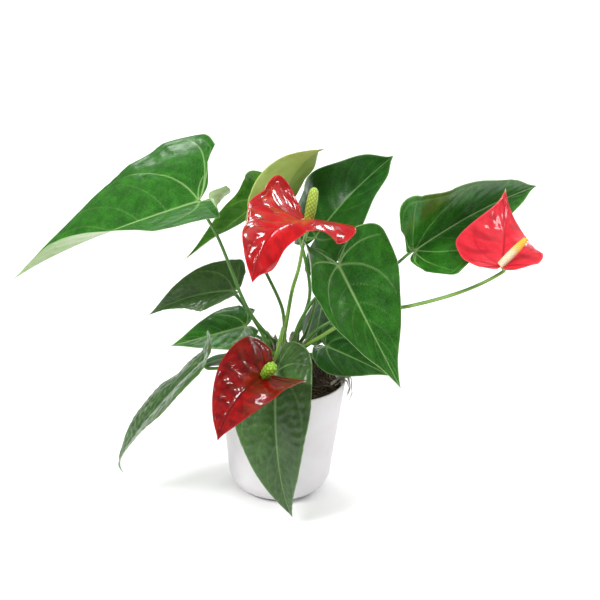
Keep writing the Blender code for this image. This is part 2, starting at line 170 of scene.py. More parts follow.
# Anthurium leaf: a waxy cuticle over green tissue. It gives deep, slightly mottled green with pale
# veins, a paler and duller underside, and a satin gloss that breaks up along the ribs.
# The rib number in each look sets a painted sheen: how much pale grey-green lies on the rib crests.
leafLooks = {
    "mature": dict(tissue=("#134a08", "#1d5e0d", "#2e7716"), vein="#8db26c", under="#a4b58a",
                   roughness=(0.25, 0.38), wax=0.06, ribSheen=0.0),
    "bright": dict(tissue=("#1f5206", "#306b0a", "#4a8716"), vein="#8cb04e", under="#b9c79a",
                   roughness=(0.25, 0.38), wax=0.06, ribSheen=0.0),
    "young": dict(tissue=("#90a844", "#9fb755", "#afc467"), vein="#b0c46e", under="#a0b558",
                  roughness=(0.45, 0.60), wax=0.05, ribSheen=0.0),
    "deep": dict(tissue=("#0f3a0a", "#15480e", "#205c14"), vein="#68904f", under="#7c9c62",
                 roughness=(0.28, 0.40), wax=0.06, ribSheen=0.0),
    "satin": dict(tissue=("#25441a", "#335423", "#44682e"), vein="#6f8f58", under="#869f70",
                  roughness=(0.28, 0.38), wax=0.2, ribSheen=0.05),
}


def leafCuticle(name, tissue, vein, under, roughness, wax, ribSheen):
    material, tree, shader, read = newMaterial(name, "flatPlace", "vein", "rib", "edge", "underside")
    place = read["flatPlace"]["Vector"]
    mottle = addNode(tree, "ShaderNodeTexNoise", {"Vector": place, "Scale": 1 / 16, "Detail": 5.0,
                                                  "Roughness": 0.62})  # patches about 16 mm across
    # Areoles between the smallest veins are about 1 mm across; drawn at 2.6 mm so that they show.
    areoles = addNode(tree, "ShaderNodeTexVoronoi", {"Vector": place, "Scale": 1 / 2.6},
                      feature="DISTANCE_TO_EDGE")
    netting = addNode(tree, "ShaderNodeMapRange", {"Value": areoles, "From Max": 0.16, "To Min": 0.1,
                                                   "To Max": 0.0})
    # Painted sheen: on the satin leaves the rib crests get pale grey-green (#9db08f), standing in for light
    # glancing off the fine ribs.
    ribs = addNode(tree, "ShaderNodeMath", {0: read["rib"]["Fac"], 1: ribSheen}, operation="MULTIPLY")
    back = addNode(tree, "ShaderNodeValToRGB", {"Fac": mottle}, stops=((0.3, under), (0.7, vein)))
    colour = addNode(tree, "ShaderNodeValToRGB", {"Fac": mottle}, stops=zip((0.30, 0.52, 0.74), tissue))
    for share, over in ((netting, linear(vein)), (ribs, linear("#9db08f")),
                        (read["vein"]["Fac"], linear(vein)), (read["underside"]["Fac"], back),
                        (read["edge"]["Fac"], linear(vein))):
        layer = addNode(tree, "ShaderNodeMix", {0: share, 6: colour, 7: over}, data_type="RGBA")
        colour = layer.outputs[2]
    # Wax wears unevenly: the gloss drifts over about 9 mm.
    wear = addNode(tree, "ShaderNodeTexNoise", {"Vector": place, "Scale": 1 / 9, "Detail": 4.0})
    gloss = addNode(tree, "ShaderNodeMapRange", {"Value": wear, "From Min": 0.3, "From Max": 0.7,
                                                 "To Min": roughness[0], "To Max": roughness[1]})
    grain = addNode(tree, "ShaderNodeBump", {"Height": areoles, "Strength": 0.25, "Distance": 0.0003})
    fillSockets(shader, {"Base Color": colour, "Roughness": gloss, "Normal": grain, "IOR": 1.45,
                         "Specular IOR Level": 0.32, "Coat Weight": wax, "Coat Roughness": 0.28})
    return material


# Anthurium spathe: a coloured leaf under a thick, lacquer-like cuticle. It gives a saturated colour,
# hard window-like highlights on every blister and a darker, duller back.
# The rim colours are painted highlights: a brighter red laid along the margin where the edge catches the
# light.
spatheLooks = {
    "scarlet": dict(tissue=("#980308", "#b6040c", "#ca0c16"), vein="#8c0309", under="#6e1012",
                    rim="#d8222a", roughness=0.36, lacquer=0.8),
    "garnet": dict(tissue=("#4c0305", "#7f0407", "#a3090c"), vein="#520305", under="#5c1113",
                   rim="#9c0c13", roughness=0.36, lacquer=0.8),
    "coral": dict(tissue=("#c41728", "#d42233", "#df303c"), vein="#a01020", under="#c22b36",
                  rim="#f0545c", roughness=0.42, lacquer=0.3),
}


def spatheLacquer(name, tissue, vein, under, rim, roughness, lacquer):
    material, tree, shader, read = newMaterial(name, "flatPlace", "vein", "rib", "edge", "underside", "tip")
    place = read["flatPlace"]["Vector"]
    mottle = addNode(tree, "ShaderNodeTexNoise", {"Vector": place, "Scale": 1 / 10, "Detail": 5.0,
                                                  "Roughness": 0.6})  # patches about 10 mm across
    ribs = addNode(tree, "ShaderNodeMath", {0: read["rib"]["Fac"], 1: 0.6}, operation="MULTIPLY")
    back = addNode(tree, "ShaderNodeValToRGB", {"Fac": mottle}, stops=((0.3, under), (0.8, vein)))
    colour = addNode(tree, "ShaderNodeValToRGB", {"Fac": mottle}, stops=zip((0.30, 0.48, 0.75), tissue))
    # The edge mark lays the rim colour along the margin as a painted highlight.
    for share, over in ((ribs, linear(vein)), (read["vein"]["Fac"], linear(vein)),
                        (read["underside"]["Fac"], back), (read["edge"]["Fac"], linear(rim)),
                        (read["tip"]["Fac"], linear("#e9d2b4"))):
        layer = addNode(tree, "ShaderNodeMix", {0: share, 6: colour, 7: over}, data_type="RGBA")
        colour = layer.outputs[2]
    # Cells under the cuticle are too fine to show; drawn 1.8 mm wide as a faint orange-peel.
    cells = addNode(tree, "ShaderNodeTexNoise", {"Vector": place, "Scale": 1 / 1.8, "Detail": 2.0})
    peel = addNode(tree, "ShaderNodeBump", {"Height": cells, "Strength": 0.12, "Distance": 0.0004})
    gloss = addNode(tree, "ShaderNodeMapRange", {"Value": mottle, "From Min": 0.3, "From Max": 0.7,
                                                 "To Min": roughness - 0.06, "To Max": roughness + 0.08})
    fillSockets(shader, {"Base Color": colour, "Roughness": gloss, "Normal": peel, "IOR": 1.48,
                         "Specular IOR Level": 0.2, "Coat Weight": lacquer, "Coat Roughness": 0.06,
                         "Coat IOR": 1.5})
    return material


# Leaves and spathes. One half of a flat blade, from the stalk round the lobe to the tip: how far along
# the midrib, in lobe lengths behind the stalk and blade lengths ahead of it, and how far out in half widths.
halfOutline = (
    (0.00, 0.00), (-0.50, 0.07), (-0.88, 0.28), (-1.00, 0.55), (-0.72, 0.86), (-0.10, 1.00),
    (0.16, 0.97), (0.38, 0.80), (0.60, 0.53), (0.80, 0.24), (0.93, 0.07), (1.00, 0.00),
)
midribStart = 0.38  # the share of the margin that belongs to the lobes
midribGather = 1.15  # how far the lines in the tissue gather towards the stalk
midribSteps, lobeSteps, hookSteps = 40, 16, 6  # how finely the midrib bends, ahead, behind and at a hook
halfSides = (1.0, -1.0)  # the left half lies on the positive side of the midrib

# at, heading, rise and roll set where the stalk joins and how the midrib sets off; pairs are the left
# and right half. The rest bends the midrib, folds and curls the halves and trims the outline. Most of
# the numbers in bladeSpecs were found by a fitting program and rounded, not worked out from sizes.
bladeDefaults = dict(
    droop=0, sweep=0, twist=0, lobeLift=10, fold=(12, 12), curl=(-15, -15), lobeCurl=(0, 0),
    tipFold=(0, 0), tipFoldFrom=0.2, tipFoldOver=0.8, fullness=1.0, point=1.0, sinus=1.2, hook=0,
    paleTip=0, quilt=(1, 1), valley=2.6,
)
bladeSpecs = {
    "leaf_01": dict(
        look="mature", at=(-84, -28, 318), heading=201, rise=-13, roll=-44, length=203, halves=(72, 107),
        lobes=(66, 31), droop=43, sweep=-9, twist=15, lobeLift=68, fold=(48, -2), curl=(4, -50),
        lobeCurl=(66, -2), tipFold=(34, -10), tipFoldFrom=0.26, tipFoldOver=0.44, fullness=0.9,
        point=0.91, sinus=2.3,
    ),
    "leaf_02": dict(
        look="bright", at=(-31, 85, 281), heading=185, rise=-41, roll=-1, length=102, halves=(43, 44),
        lobes=(28, 28), sweep=-7, twist=10, lobeLift=30, fold=(14, 17), curl=(-19, 17),
        lobeCurl=(0, 30), tipFold=(9, 15), fullness=0.85, point=0.82,
    ),
    "leaf_03": dict(
        look="young", at=(-5, 50, 299), heading=-52, rise=65, roll=34, length=95, halves=(44, 46),
        lobes=(31, 33), droop=38, sweep=-16, twist=-18, lobeLift=8, fold=(11, 25), curl=(-40, 8),
        lobeCurl=(-6, 4), tipFold=(4, 34), fullness=1.1, point=0.95,
    ),
    "leaf_04": dict(
        look="deep", at=(30, 53, 257), heading=-1, rise=59, roll=21, length=116, halves=(63, 59),
        lobes=(27, 27), droop=38, sweep=10, twist=36, lobeLift=0, fold=(18, 20), curl=(-30, -35),
        lobeCurl=(-47, 0), tipFold=(48, 16), fullness=1.02, point=1.45,
    ),
    "leaf_05": dict(
        look="mature", at=(51, -41, 263), heading=-12, rise=-61, roll=47, length=137, halves=(61, 62),
        lobes=(24, 41), droop=-8, sweep=-3, twist=1, lobeLift=-8, fold=(19, 12), curl=(-35, 43),
        lobeCurl=(8, 45), tipFold=(-22, 17), point=0.88, sinus=1.9,
    ),
    "leaf_06": dict(
        look="mature", at=(126, -6, 268), heading=48, rise=14, roll=58, length=193, halves=(68, 56),
        lobes=(37, 37), droop=-1, sweep=-12, twist=21, lobeLift=27, fold=(54, 49), curl=(-15, 2),
        lobeCurl=(-51, 3), tipFold=(-30, 15), fullness=0.91, point=1.16, sinus=1.7,
    ),
    "leaf_07": dict(
        look="deep", at=(44, 4, 157), heading=-10, rise=-18, roll=11, length=71, halves=(32, 34),
        lobes=(14, 14), droop=7, twist=16, lobeLift=30, fold=(24, 11), curl=(-28, -30),
        lobeCurl=(18, 17), fullness=1.08,
    ),
    "leaf_08": dict(
        look="deep", at=(39, 68, 182), heading=-127, rise=-70, roll=-91, length=56, halves=(39, 41),
        lobes=(18, 18), droop=20, sweep=35, twist=35, fold=(17, 21), curl=(-29, -1), tipFold=(17, -2),
        point=1.2,
    ),
    "leaf_09": dict(
        look="satin", at=(-51, 7, 213), heading=152, rise=-13, roll=-31, length=102, halves=(41, 34),
        lobes=(19, 19), droop=3, sweep=30, twist=-34, lobeLift=27, fold=(28, 37), curl=(-2, -24),
        lobeCurl=(12, 0), tipFold=(34, 7), sinus=1.6,
    ),
    "leaf_10": dict(
        look="mature", at=(-40, 45, 159), heading=190, rise=-14, roll=-23, length=81, halves=(35, 35),
        lobes=(14, 14), twist=-6, lobeLift=18, fold=(13, 14), curl=(0, -34), lobeCurl=(23, -41),
        tipFold=(6, -3), fullness=1.04, sinus=1.6,
    ),
    "leaf_11": dict(
        look="deep", at=(-54, -6, 146), heading=187, rise=-8, roll=8, length=46, halves=(19, 18),
        lobes=(13, 13), droop=35, sweep=4, lobeLift=12, fold=(8, 8), curl=(-20, -15),
    ),
    "leaf_12": dict(
        look="satin", at=(-76, -60, 163), heading=196, rise=-42, roll=10, length=165, halves=(44, 42),
        hook=42, lobes=(30, 30), droop=30, sweep=-32, twist=-10, lobeLift=48, fold=(31, 17), curl=(-38, -39),
        lobeCurl=(0, 20), tipFold=(-4, 20), fullness=1.15, point=0.95,
    ),
    "leaf_13": dict(
        look="satin", at=(-5, -64, 157), heading=-91, rise=-54, roll=17, length=159, halves=(43, 44),
        lobes=(33, 33), droop=65, sweep=-3, twist=6, lobeLift=29, fold=(25, 20), curl=(-11, -23),
        lobeCurl=(-15, 0), tipFold=(-3, 13), fullness=1.07, point=1.04, sinus=0.95,
    ),
    "spathe_1": dict(
        look="scarlet", quilt=(0.15, 1), at=(21, -50, 309), heading=235, rise=22, roll=8, length=128,
        halves=(46, 66), lobes=(36, 26), droop=73, sweep=13, lobeLift=-6, fold=(27, 9),
        curl=(-112, 66), lobeCurl=(58, 12), tipFold=(-75, 55), tipFoldFrom=0.39, tipFoldOver=0.45,
        fullness=0.76, point=1.7, sinus=1.6,
    ),
    "spathe_2": dict(
        look="garnet", quilt=(0.15, 1), at=(-16, -102, 171), heading=238, rise=5, roll=-34, length=99,
        halves=(44, 41), lobes=(24, 31), droop=33, sweep=31, twist=22, lobeLift=-6, fold=(11, 19),
        curl=(60, 0), lobeCurl=(-4, -20), tipFold=(-18, -15), point=1.12,
    ),
    "spathe_3": dict(
        look="coral", paleTip=0.8, at=(210, -27, 263), heading=79, rise=11, roll=-8, length=104,
        halves=(44, 35), lobes=(20, 20), droop=-43, sweep=9, twist=24, lobeLift=11, fold=(25, 17),
        curl=(-5, -28), lobeCurl=(0, 24), tipFold=(16, -69), fullness=1.15, point=1.15, sinus=1.4,
    ),
}

# How each kind of blade is made up: thickness, how wide and deep its veins are, how far the tissue
# swells between them, its cross ribs, its blisters and the waves of its margin.
leafBuild = dict(thickness=0.55, veinWidth=0.7, veinDepth=0.3, swell=0.5, swellWidth=9.0,
                 ribs=22, ribHeight=0.10, blister=0.10, blisterPitch=6.0, wave=0.9, wavePitch=52.0)
bladeBuilds = {
    "mature": leafBuild,
    "bright": leafBuild,
    "young": {**leafBuild, "veinDepth": 0.12, "swell": 0.2, "wave": 0.4},
    "deep": leafBuild,
    "satin": {**leafBuild, "ribs": 34, "ribHeight": 0.12, "blister": 0.26, "blisterPitch": 3.4},
    "scarlet": dict(thickness=0.9, veinWidth=1.0, veinDepth=0.5, swell=1.1, swellWidth=6.5,
                    ribs=11, ribHeight=0.5, blister=0.16, blisterPitch=6.0, wave=0.5, wavePitch=30.0),
    "garnet": dict(thickness=0.9, veinWidth=1.0, veinDepth=0.6, swell=1.2, swellWidth=5.5,
                   ribs=12, ribHeight=0.65, blister=0.16, blisterPitch=5.0, wave=0.6, wavePitch=26.0),
    "coral": dict(thickness=0.9, veinWidth=0.8, veinDepth=0.35, swell=0.5, swellWidth=8.0,
                  ribs=7, ribHeight=0.25, blister=0.12, blisterPitch=7.0, wave=0.5, wavePitch=40.0),
}
# Where the veins end on the margin (share of its length from the stalk) and how far each one bows.
basalVeins = ((0.11, -0.10), (0.22, 0.06), (0.38, 0.14), (0.62, 0.17))
midribVeins = ((0.16, 0.10), (0.30, 0.11), (0.44, 0.11), (0.58, 0.10), (0.72, 0.09))  # first: where it leaves


def smoothCurve(points, count):
    # Points at equal steps along a smooth curve through the given ones.
    points = np.asarray(points, float)
    steps = np.sqrt(np.linalg.norm(np.diff(points, axis=0), axis=1))
    knots = np.concatenate([[0.0], np.cumsum(steps)])
    slopes = np.empty_like(points)
    slopes[1:-1] = (points[2:] - points[:-2]) / (knots[2:] - knots[:-2])[:, None]
    slopes[0] = (points[1] - points[0]) / (knots[1] - knots[0])
    slopes[-1] = (points[-1] - points[-2]) / (knots[-1] - knots[-2])
    at = np.linspace(0.0, knots[-1], count)
    span = np.clip(np.searchsorted(knots, at, side="right") - 1, 0, len(points) - 2)
    width = (knots[span + 1] - knots[span])[:, None]
    u = (at[:, None] - knots[span][:, None]) / width
    return (
        (2 * u**3 - 3 * u**2 + 1) * points[span]
        + (u**3 - 2 * u**2 + u) * width * slopes[span]
        + (3 * u**2 - 2 * u**3) * points[span + 1]
        + (u**3 - u**2) * width * slopes[span + 1]
    )


def turnedPair(first, second, angle):
    # Two axes at right angles, turned so that the first moves towards the second.
    return (first * math.cos(angle) + second * math.sin(angle),
            second * math.cos(angle) - first * math.sin(angle))


def startingAxes(heading, rise, roll):
    # The midrib's direction, the upper face's normal and the direction of the left half.
    turn, lift, bank = np.radians([heading, rise, roll])
    ahead = np.array([math.cos(turn) * math.cos(lift), math.sin(turn) * math.cos(lift), math.sin(lift)])
    level = np.array([-math.cos(turn) * math.sin(lift), -math.sin(turn) * math.sin(lift), math.cos(lift)])
    left, up = turnedPair(np.cross(level, ahead), level, bank)
    return ahead, up, left


def bendMidrib(axes, length, steps, droop, sweep, twist, gather=0.0, hook=0.0):
    # Marches along the midrib, turning its axes a little at each step; hook bends the last steps.
    ahead, up, left = axes
    place = np.zeros(3)
    frames = [(place, up, left)]
    for i in range(steps):
        weight = 1.0 + gather * ((i + 0.5) / steps - 0.5)
        extra = hook / hookSteps if i >= steps - hookSteps else 0.0
        down, side, spin = np.radians([droop * weight / steps + extra, sweep / steps, twist / steps])
        ahead, up = turnedPair(ahead, up, -down)
        ahead, left = turnedPair(ahead, left, side)
        left, up = turnedPair(left, up, spin)
        place = place + ahead * (length / steps)
        frames.append((place, up, left))
    return frames


class BladeForm:
    # Turns places on the flat blade into places on the bent, folded and curled one.

    def __init__(self, **spec):
        self.spec = {**bladeDefaults, **spec}
        s = self.spec
        axes = startingAxes(s["heading"], s["rise"], s["roll"])
        reach = max(s["lobes"]) * 1.02
        front = bendMidrib(axes, s["length"], midribSteps, s["droop"], s["sweep"], s["twist"], 0.6, s["hook"])
        rear = bendMidrib(axes, -reach, lobeSteps, s["lobeLift"], 0.0, 0.0)
        frames = rear[:0:-1] + front
        self.along = np.concatenate([np.linspace(-reach, 0.0, lobeSteps + 1)[:-1],
                                     np.linspace(0.0, s["length"], midribSteps + 1)])
        self.places = np.array([f[0] for f in frames]) + np.array(s["at"], float)
        self.ups = np.array([f[1] for f in frames])
        self.lefts = np.array([f[2] for f in frames])

    def follow(self, table, along):
        return np.stack([np.interp(along, self.along, table[:, axis]) for axis in range(3)], axis=-1)

    def towardTip(self, along):
        s = self.spec
        return np.clip((along / s["length"] - s["tipFoldFrom"]) / s["tipFoldOver"], 0.0, 1.0)

    def crease(self, along):
        # The fold along the midrib is rounded, which lifts the midrib a little out of the crease.
        s = self.spec
        fold = 0.5 * (sum(s["fold"]) + sum(s["tipFold"]) * self.towardTip(along))
        return s["valley"] * np.sin(np.radians(fold))

    def stalkJoint(self):
        # Where the stalk meets the blade and the upper face's normal there.
        base = int(np.searchsorted(self.along, 0.0))
        return self.places[base] + self.ups[base] * float(self.crease(0.0)), self.ups[base]

    def margin(self, half, count):
        s = self.spec
        points = []
        for along, out in halfOutline:
            trim = 1.0
            if -1.0 < along < -0.4 and out < 0.5:
                trim = s["sinus"]
            elif 0.1 < along < 0.7:
                trim = s["fullness"]
            elif along > 0.7:
                trim = s["point"]
            points.append((along * (s["lobes"][half] if along < 0 else s["length"]),
                           out * s["halves"][half] * trim))
        return smoothCurve(points, count)

    def root(self, share):
        # Where on the midrib the tissue line that ends at this share of the margin begins.
        ahead = np.maximum((share - midribStart) / (1.0 - midribStart), 0.0)
        return self.spec["length"] * ahead ** midribGather

    def bend(self, along, out, half):
        s = self.spec
        behind = np.clip(-along / s["lobes"][half], 0.0, 1.0)
        start = np.radians(s["fold"][half] + s["tipFold"][half] * self.towardTip(along))
        turn = np.radians(s["curl"][half] + s["lobeCurl"][half] * behind) / s["halves"][half]
        turn = np.where(np.abs(turn) > 1e-6, turn, 1e-6)
        across = (np.sin(start + turn * out) - np.sin(start)) / turn
        rise = (np.cos(start) - np.cos(start + turn * out)) / turn
        rise = rise + self.crease(along) * np.exp(-out / s["valley"])
        return (
            self.follow(self.places, along)
            + self.follow(self.lefts, along) * (halfSides[half] * across)[..., None]
            + self.follow(self.ups, along) * rise[..., None]
        )

    def normal(self, along, out, half):
        # The upper face's normal; it turns gently from one half to the other across the midrib.
        near = 0.4
        ahead = self.bend(along + near, out, half) - self.bend(along - near, out, half)
        outward = self.bend(along, out + near, half) - self.bend(along, np.maximum(out - near, 0.0), half)
        face = np.cross(ahead, outward) * halfSides[half]
        face /= np.linalg.norm(face, axis=-1, keepdims=True)
        share = smoothStep(0.0, 4.0, out)[..., None]
        mixed = face * share + self.follow(self.ups, along) * (1.0 - share)
        return mixed / np.linalg.norm(mixed, axis=-1, keepdims=True)


def arc(start, end, bow, count=14):
    # A flat vein from start to end that bows outward and back by that share of its length.
    start, end = np.asarray(start, float), np.asarray(end, float)
    way = end - start
    control = start + 0.45 * way + bow * 2.0 * np.array([-way[1], way[0]])
    t = np.linspace(0.0, 1.0, count)[:, None]
    return (1 - t) ** 2 * start + 2 * t * (1 - t) * control + t**2 * end


def veinLines(form, half):
    # Flat lines of the main veins, each with its thickness at both ends as a share of the midrib's.
    count = 201
    margin = form.margin(half, count)

    def nearRim(share, inset):
        rim = margin[int(round(min(share, 0.985) * (count - 1)))]
        root = np.array([float(form.root(share)), 0.0])
        return root + (rim - root) * inset

    length = form.spec["length"]
    lines = [(np.array([[0.0, 0.0], [length * 0.5, 0.0], [length, 0.0]]), 1.25, 0.5)]
    for share, bow in basalVeins:
        lines.append((arc((0.0, 0.0), nearRim(share, 0.9), bow), 1.0, 0.25))
    for leave, bow in midribVeins:
        share = midribStart + (1.0 - midribStart) * leave ** (1 / midribGather)
        lines.append((arc((leave * length, 0.0), nearRim(share + 0.13, 0.9), bow), 0.22, 0.1))
    loop = np.array([nearRim(share, 0.9) for share in np.linspace(0.12, 0.97, 60)])
    lines.append((loop, 0.1, 0.1))  # the vein that runs just inside the margin
    return lines


def nearestVein(points, lines):
    # For flat points: the distance to the nearest main vein, and how strongly veins mark each point.
    nearest = np.full(len(points), 1e9)
    strength = np.zeros(len(points))
    for line, first, last in lines:
        a, b = line[:-1], line[1:]
        way = b - a
        t = ((points[:, None] - a) * way).sum(-1) / (way * way).sum(-1)
        t = np.clip(t, 0.0, 1.0)
        gap = np.linalg.norm(points[:, None] - (a + t[..., None] * way), axis=-1)
        best = gap.argmin(axis=1)
        gap = gap[np.arange(len(points)), best]
        along = (best + t[np.arange(len(points)), best]) / len(way)
        size = first + (last - first) * along
        nearest = np.minimum(nearest, gap / size**0.3)
        strength = np.maximum(strength, np.minimum(size, 1.0) ** 0.7 * np.exp(-((gap / size**0.4) ** 2)))
    return nearest, strength


def relief(form, build, along, out, half, share, reach, nearest, vein, seed):
    # Height of the upper face above the plain blade: sunken veins, swollen tissue, ribs, blisters, waves.
    width = form.spec["halves"][half]
    clear = smoothStep(0.0, 10.0, np.hypot(along, out))
    clear = clear * form.spec["quilt"][half]
    height = build["swell"] * (1.0 - np.exp(-((nearest / build["swellWidth"]) ** 2))) * clear
    height -= build["veinDepth"] * vein
    wander = 0.6 * ripple(along, out, 22.0, seed + 1)
    ribs = np.sin(2.0 * math.pi * build["ribs"] * share + wander)
    band = smoothStep(0.05, 0.4, reach) * smoothStep(1.0, 0.8, reach)
    height += build["ribHeight"] * ribs * band * clear
    height += build["blister"] * ripple(along, out, build["blisterPitch"], seed + 2, 12) * clear
    wave = np.sin(2.0 * math.pi * along / build["wavePitch"] + seed + 1.7 * half)
    height += build["wave"] * wave * (out / width) ** 2 * smoothStep(1.0, 0.75, along / form.spec["length"])
    # The second value marks the rib crests; the leaf material paints a sheen on them, the spathe material
    # darker rib lines.
    return height, smoothStep(0.2, 1.0, ribs) * band


def makeBlade(name, form, build, material, seed):
    # Both faces over a grid on each half, closed along the margin, where the blade thins to an edge.
    spec = form.spec
    spacing = 1.5 / detail
    rows = int(max(40, (spec["length"] + 1.6 * max(spec["lobes"]) + 0.5 * max(spec["halves"])) / spacing))
    columns = int(max(14, max(spec["halves"]) / spacing)) + 1
    share = np.linspace(0.0, 1.0, rows)[:, None]
    reach = (np.linspace(0.0, 1.0, columns) ** 0.9)[None, :]
    points, faces = [], []
    marks = {mark: [] for mark in ("flatPlace", "vein", "rib", "edge", "underside", "tip")}
    for half, side in enumerate(halfSides):
        margin = form.margin(half, rows)
        root = form.root(share)
        along = root + (margin[:, :1] - root) * reach
        out = np.maximum(margin[:, 1:] * reach, 0.0)
        flat = np.stack([along.ravel(), out.ravel()], axis=-1) / build["veinWidth"]
        lines = [(line / build["veinWidth"], first, last) for line, first, last in veinLines(form, half)]
        nearest, vein = (values.reshape(along.shape) for values in nearestVein(flat, lines))
        nearest = nearest * build["veinWidth"]
        vein = np.maximum(vein, np.exp(-((np.hypot(along, out) / 3.0) ** 2)))
        base = form.bend(along, out, half)
        normal = form.normal(along, out, half)
        height, rib = relief(form, build, along, out, half, share, reach, nearest, vein, seed)
        height = height * smoothStep(0.0, 2.5, out)  # both halves meet at the midrib
        fading = smoothStep(1.0, 0.9, along / spec["length"])
        height -= build["veinDepth"] * smoothStep(2.5, 0.0, out) * fading
        rimward = np.hypot(margin[:, :1] - along, margin[:, 1:] - out)
        thick = build["thickness"] * np.sqrt(1.0 - 0.999999 * smoothStep(1.6, 0.0, rimward) ** 2)
        thick[1:-1, 0] = build["thickness"]
        for lower in (0.0, 1.0):
            lift = height + thick * (0.5 - lower) - lower * 0.5 * build["veinDepth"] * vein
            lift[:, -1] = height[:, -1]
            lift[(0, -1), :] = height[(0, -1), :]
            first = len(points)
            points.extend((base + normal * lift[..., None]).reshape(-1, 3))
            sheet = gridFaces(rows, columns, first)
            faces.extend(sheet if (half == 1) != (lower == 1.0) else [face[::-1] for face in sheet])
            place = np.stack([along, side * out, np.full(along.shape, 37.0 * seed)], axis=-1)
            marks["flatPlace"].extend(place.reshape(-1, 3))
            marks["vein"].extend((vein * (1.0 - 0.4 * lower)).ravel())
            marks["rib"].extend(rib.ravel())
            marks["edge"].extend(np.exp(-((rimward / 0.9) ** 2)).ravel())
            marks["underside"].extend(np.full(along.size, lower))
            marks["tip"].extend((spec["paleTip"] * smoothStep(0.93, 1.0, along / spec["length"])).ravel())
    item = makeMesh(name, points, faces, material, marks)
    joined = bmesh.new()
    joined.from_mesh(item.data)
    bmesh.ops.remove_doubles(joined, verts=joined.verts, dist=0.002 * mm)
    joined.to_mesh(item.data)
    joined.free()
    return standFor(item, name.removesuffix("_blade"))


# Where each stalk leaves the crown (distance out and bearing) and the places it passes on its way up.
# petiole_01 carries leaf_01 and so on; peduncle_1 and spadix_1 belong to spathe_1.
stemSpecs = {
    "petiole_01": dict(seat=(9, 175), via=((-16, 7, 166), (-38, -6, 203), (-66, -18, 278))),
    "petiole_02": dict(seat=(5, 110), via=((1, 15, 166), (-3, 26, 190), (-20, 45, 219), (-38, 64, 246))),
    "petiole_03": dict(seat=(9, 45), via=((16, 19, 172), (25, 11, 210), (20, 8, 246), (8, 28, 280))),
    "petiole_04": dict(seat=(14, 35), via=((24, 21, 168), (32, 20, 205), (34, 34, 238))),
    "petiole_05": dict(seat=(9, -35), via=((13, 5, 174), (24, -4, 203), (38, -14, 228))),
    "petiole_06": dict(seat=(15, 12), via=((32, 8, 172), (62, 10, 194), (100, 10, 236))),
    "petiole_07": dict(seat=(15, -48), via=((26, 2, 149),)),
    "petiole_08": dict(seat=(15, 65), via=((14, 42, 154), (26, 66, 166))),
    "petiole_09": dict(seat=(15, 186), via=((-22, 12, 166), (-36, 10, 190))),
    "petiole_10": dict(seat=(15, 150), via=((-22, 26, 154),)),
    "petiole_11": dict(seat=(15.5, 208), via=((-26, 4, 146),)),
    "petiole_12": dict(seat=(15.5, 230), via=((-18, -10, 148), (-50, -42, 153))),
    "petiole_13": dict(seat=(14, -105), via=((-3, -22, 156),)),
    "peduncle_1": dict(seat=(5, -150), via=((1, 5, 172), (7, -12, 222), (13, -30, 254), (17, -44, 286))),
    "peduncle_2": dict(seat=(9, -100), via=((0, -5, 180), (-3, -38, 180), (-7, -66, 173))),
    "peduncle_3": dict(seat=(14, -15), via=((31, 0, 165), (78, -4, 198), (126, -12, 212), (176, -18, 232))),
}
# rooted and upright are how far a stalk goes into the crown and how far it first runs straight out of it.
stalkBuild = dict(petioleRadius=1.9, peduncleRadius=2.1, bend=8.0, groove=0.10, rooted=1.5, upright=6.0,
                  knee=0.32, kneeBelow=6.0, kneeLength=9.0, sheath=0.45, sheathLength=16.0, sheathTaper=7.0,
                  brownFoot=(11.0, 3.0), ringSpacing=2.2, segments=18)
crownPlace = dict(centre=(3.0, 13.0), foot=139.0, collar=4.0, top=152.0, radius=17.0)

# Petiole: a round, smooth herbaceous stalk. It gives a soft satin green with faint lengthwise
# streaks, and brown where the old sheaths clasp the foot.
stalkLooks = {
    "petioleGreen": dict(streaks=("#2f5a1e", "#4b7d2b", "#6b9a3c"), foot="#5c4a2a"),
    "peduncleGreen": dict(streaks=("#45702a", "#6f9a38", "#93b24e"), foot="#5c4a2a"),
}


def stalkSkin(name, streaks, foot):
    material, tree, shader, read = newMaterial(name, "alongStalk", "foot")
    stretched = addNode(tree, "ShaderNodeMapping", {"Vector": read["alongStalk"]["Vector"],
                                                    "Scale": (1 / 22, 1 / 1.1, 1.0)})
    fibre = addNode(tree, "ShaderNodeTexNoise", {"Vector": stretched, "Scale": 1.0,
                                                 "Detail": 4.0})  # streaks about 1 mm wide
    green = addNode(tree, "ShaderNodeValToRGB", {"Fac": fibre}, stops=zip((0.32, 0.5, 0.68), streaks))
    footed = addNode(tree, "ShaderNodeMix", {0: read["foot"]["Fac"], 6: green, 7: linear(foot)},
                     data_type="RGBA")
    gloss = addNode(tree, "ShaderNodeMapRange", {"Value": fibre, "To Min": 0.3, "To Max": 0.5})
    grain = addNode(tree, "ShaderNodeBump", {"Height": fibre, "Strength": 0.2, "Distance": 0.0003})
    fillSockets(shader, {"Base Color": footed.outputs[2], "Roughness": gloss, "Normal": grain,
                         "IOR": 1.45, "Coat Weight": 0.2, "Coat Roughness": 0.25})
    return material


def bladeOf(name):
    kind, number = name.split("_")
    return ("leaf_" if kind == "petiole" else "spathe_") + number


def domeHeight(radius):
    c = crownPlace
    shoulder = c["foot"] + c["collar"]
    return shoulder + (c["top"] - shoulder) * math.sqrt(max(1.0 - (radius / c["radius"]) ** 2, 0.0))


def seatRoute(radius, bearing):
    # Where a stalk stands on the crown's dome, and a place a little further out along its axis.
    c = crownPlace
    turn = math.radians(bearing)
    slope = math.atan2((c["top"] - c["foot"] - c["collar"]) * radius,
                       c["radius"] * math.sqrt(c["radius"] ** 2 - radius**2))
    out = np.array([math.cos(turn) * math.sin(slope), math.sin(turn) * math.sin(slope), math.cos(slope)])
    foot = np.array([c["centre"][0] + radius * math.cos(turn), c["centre"][1] + radius * math.sin(turn),
                     domeHeight(radius)])
    return foot - stalkBuild["rooted"] * out, foot + stalkBuild["upright"] * out


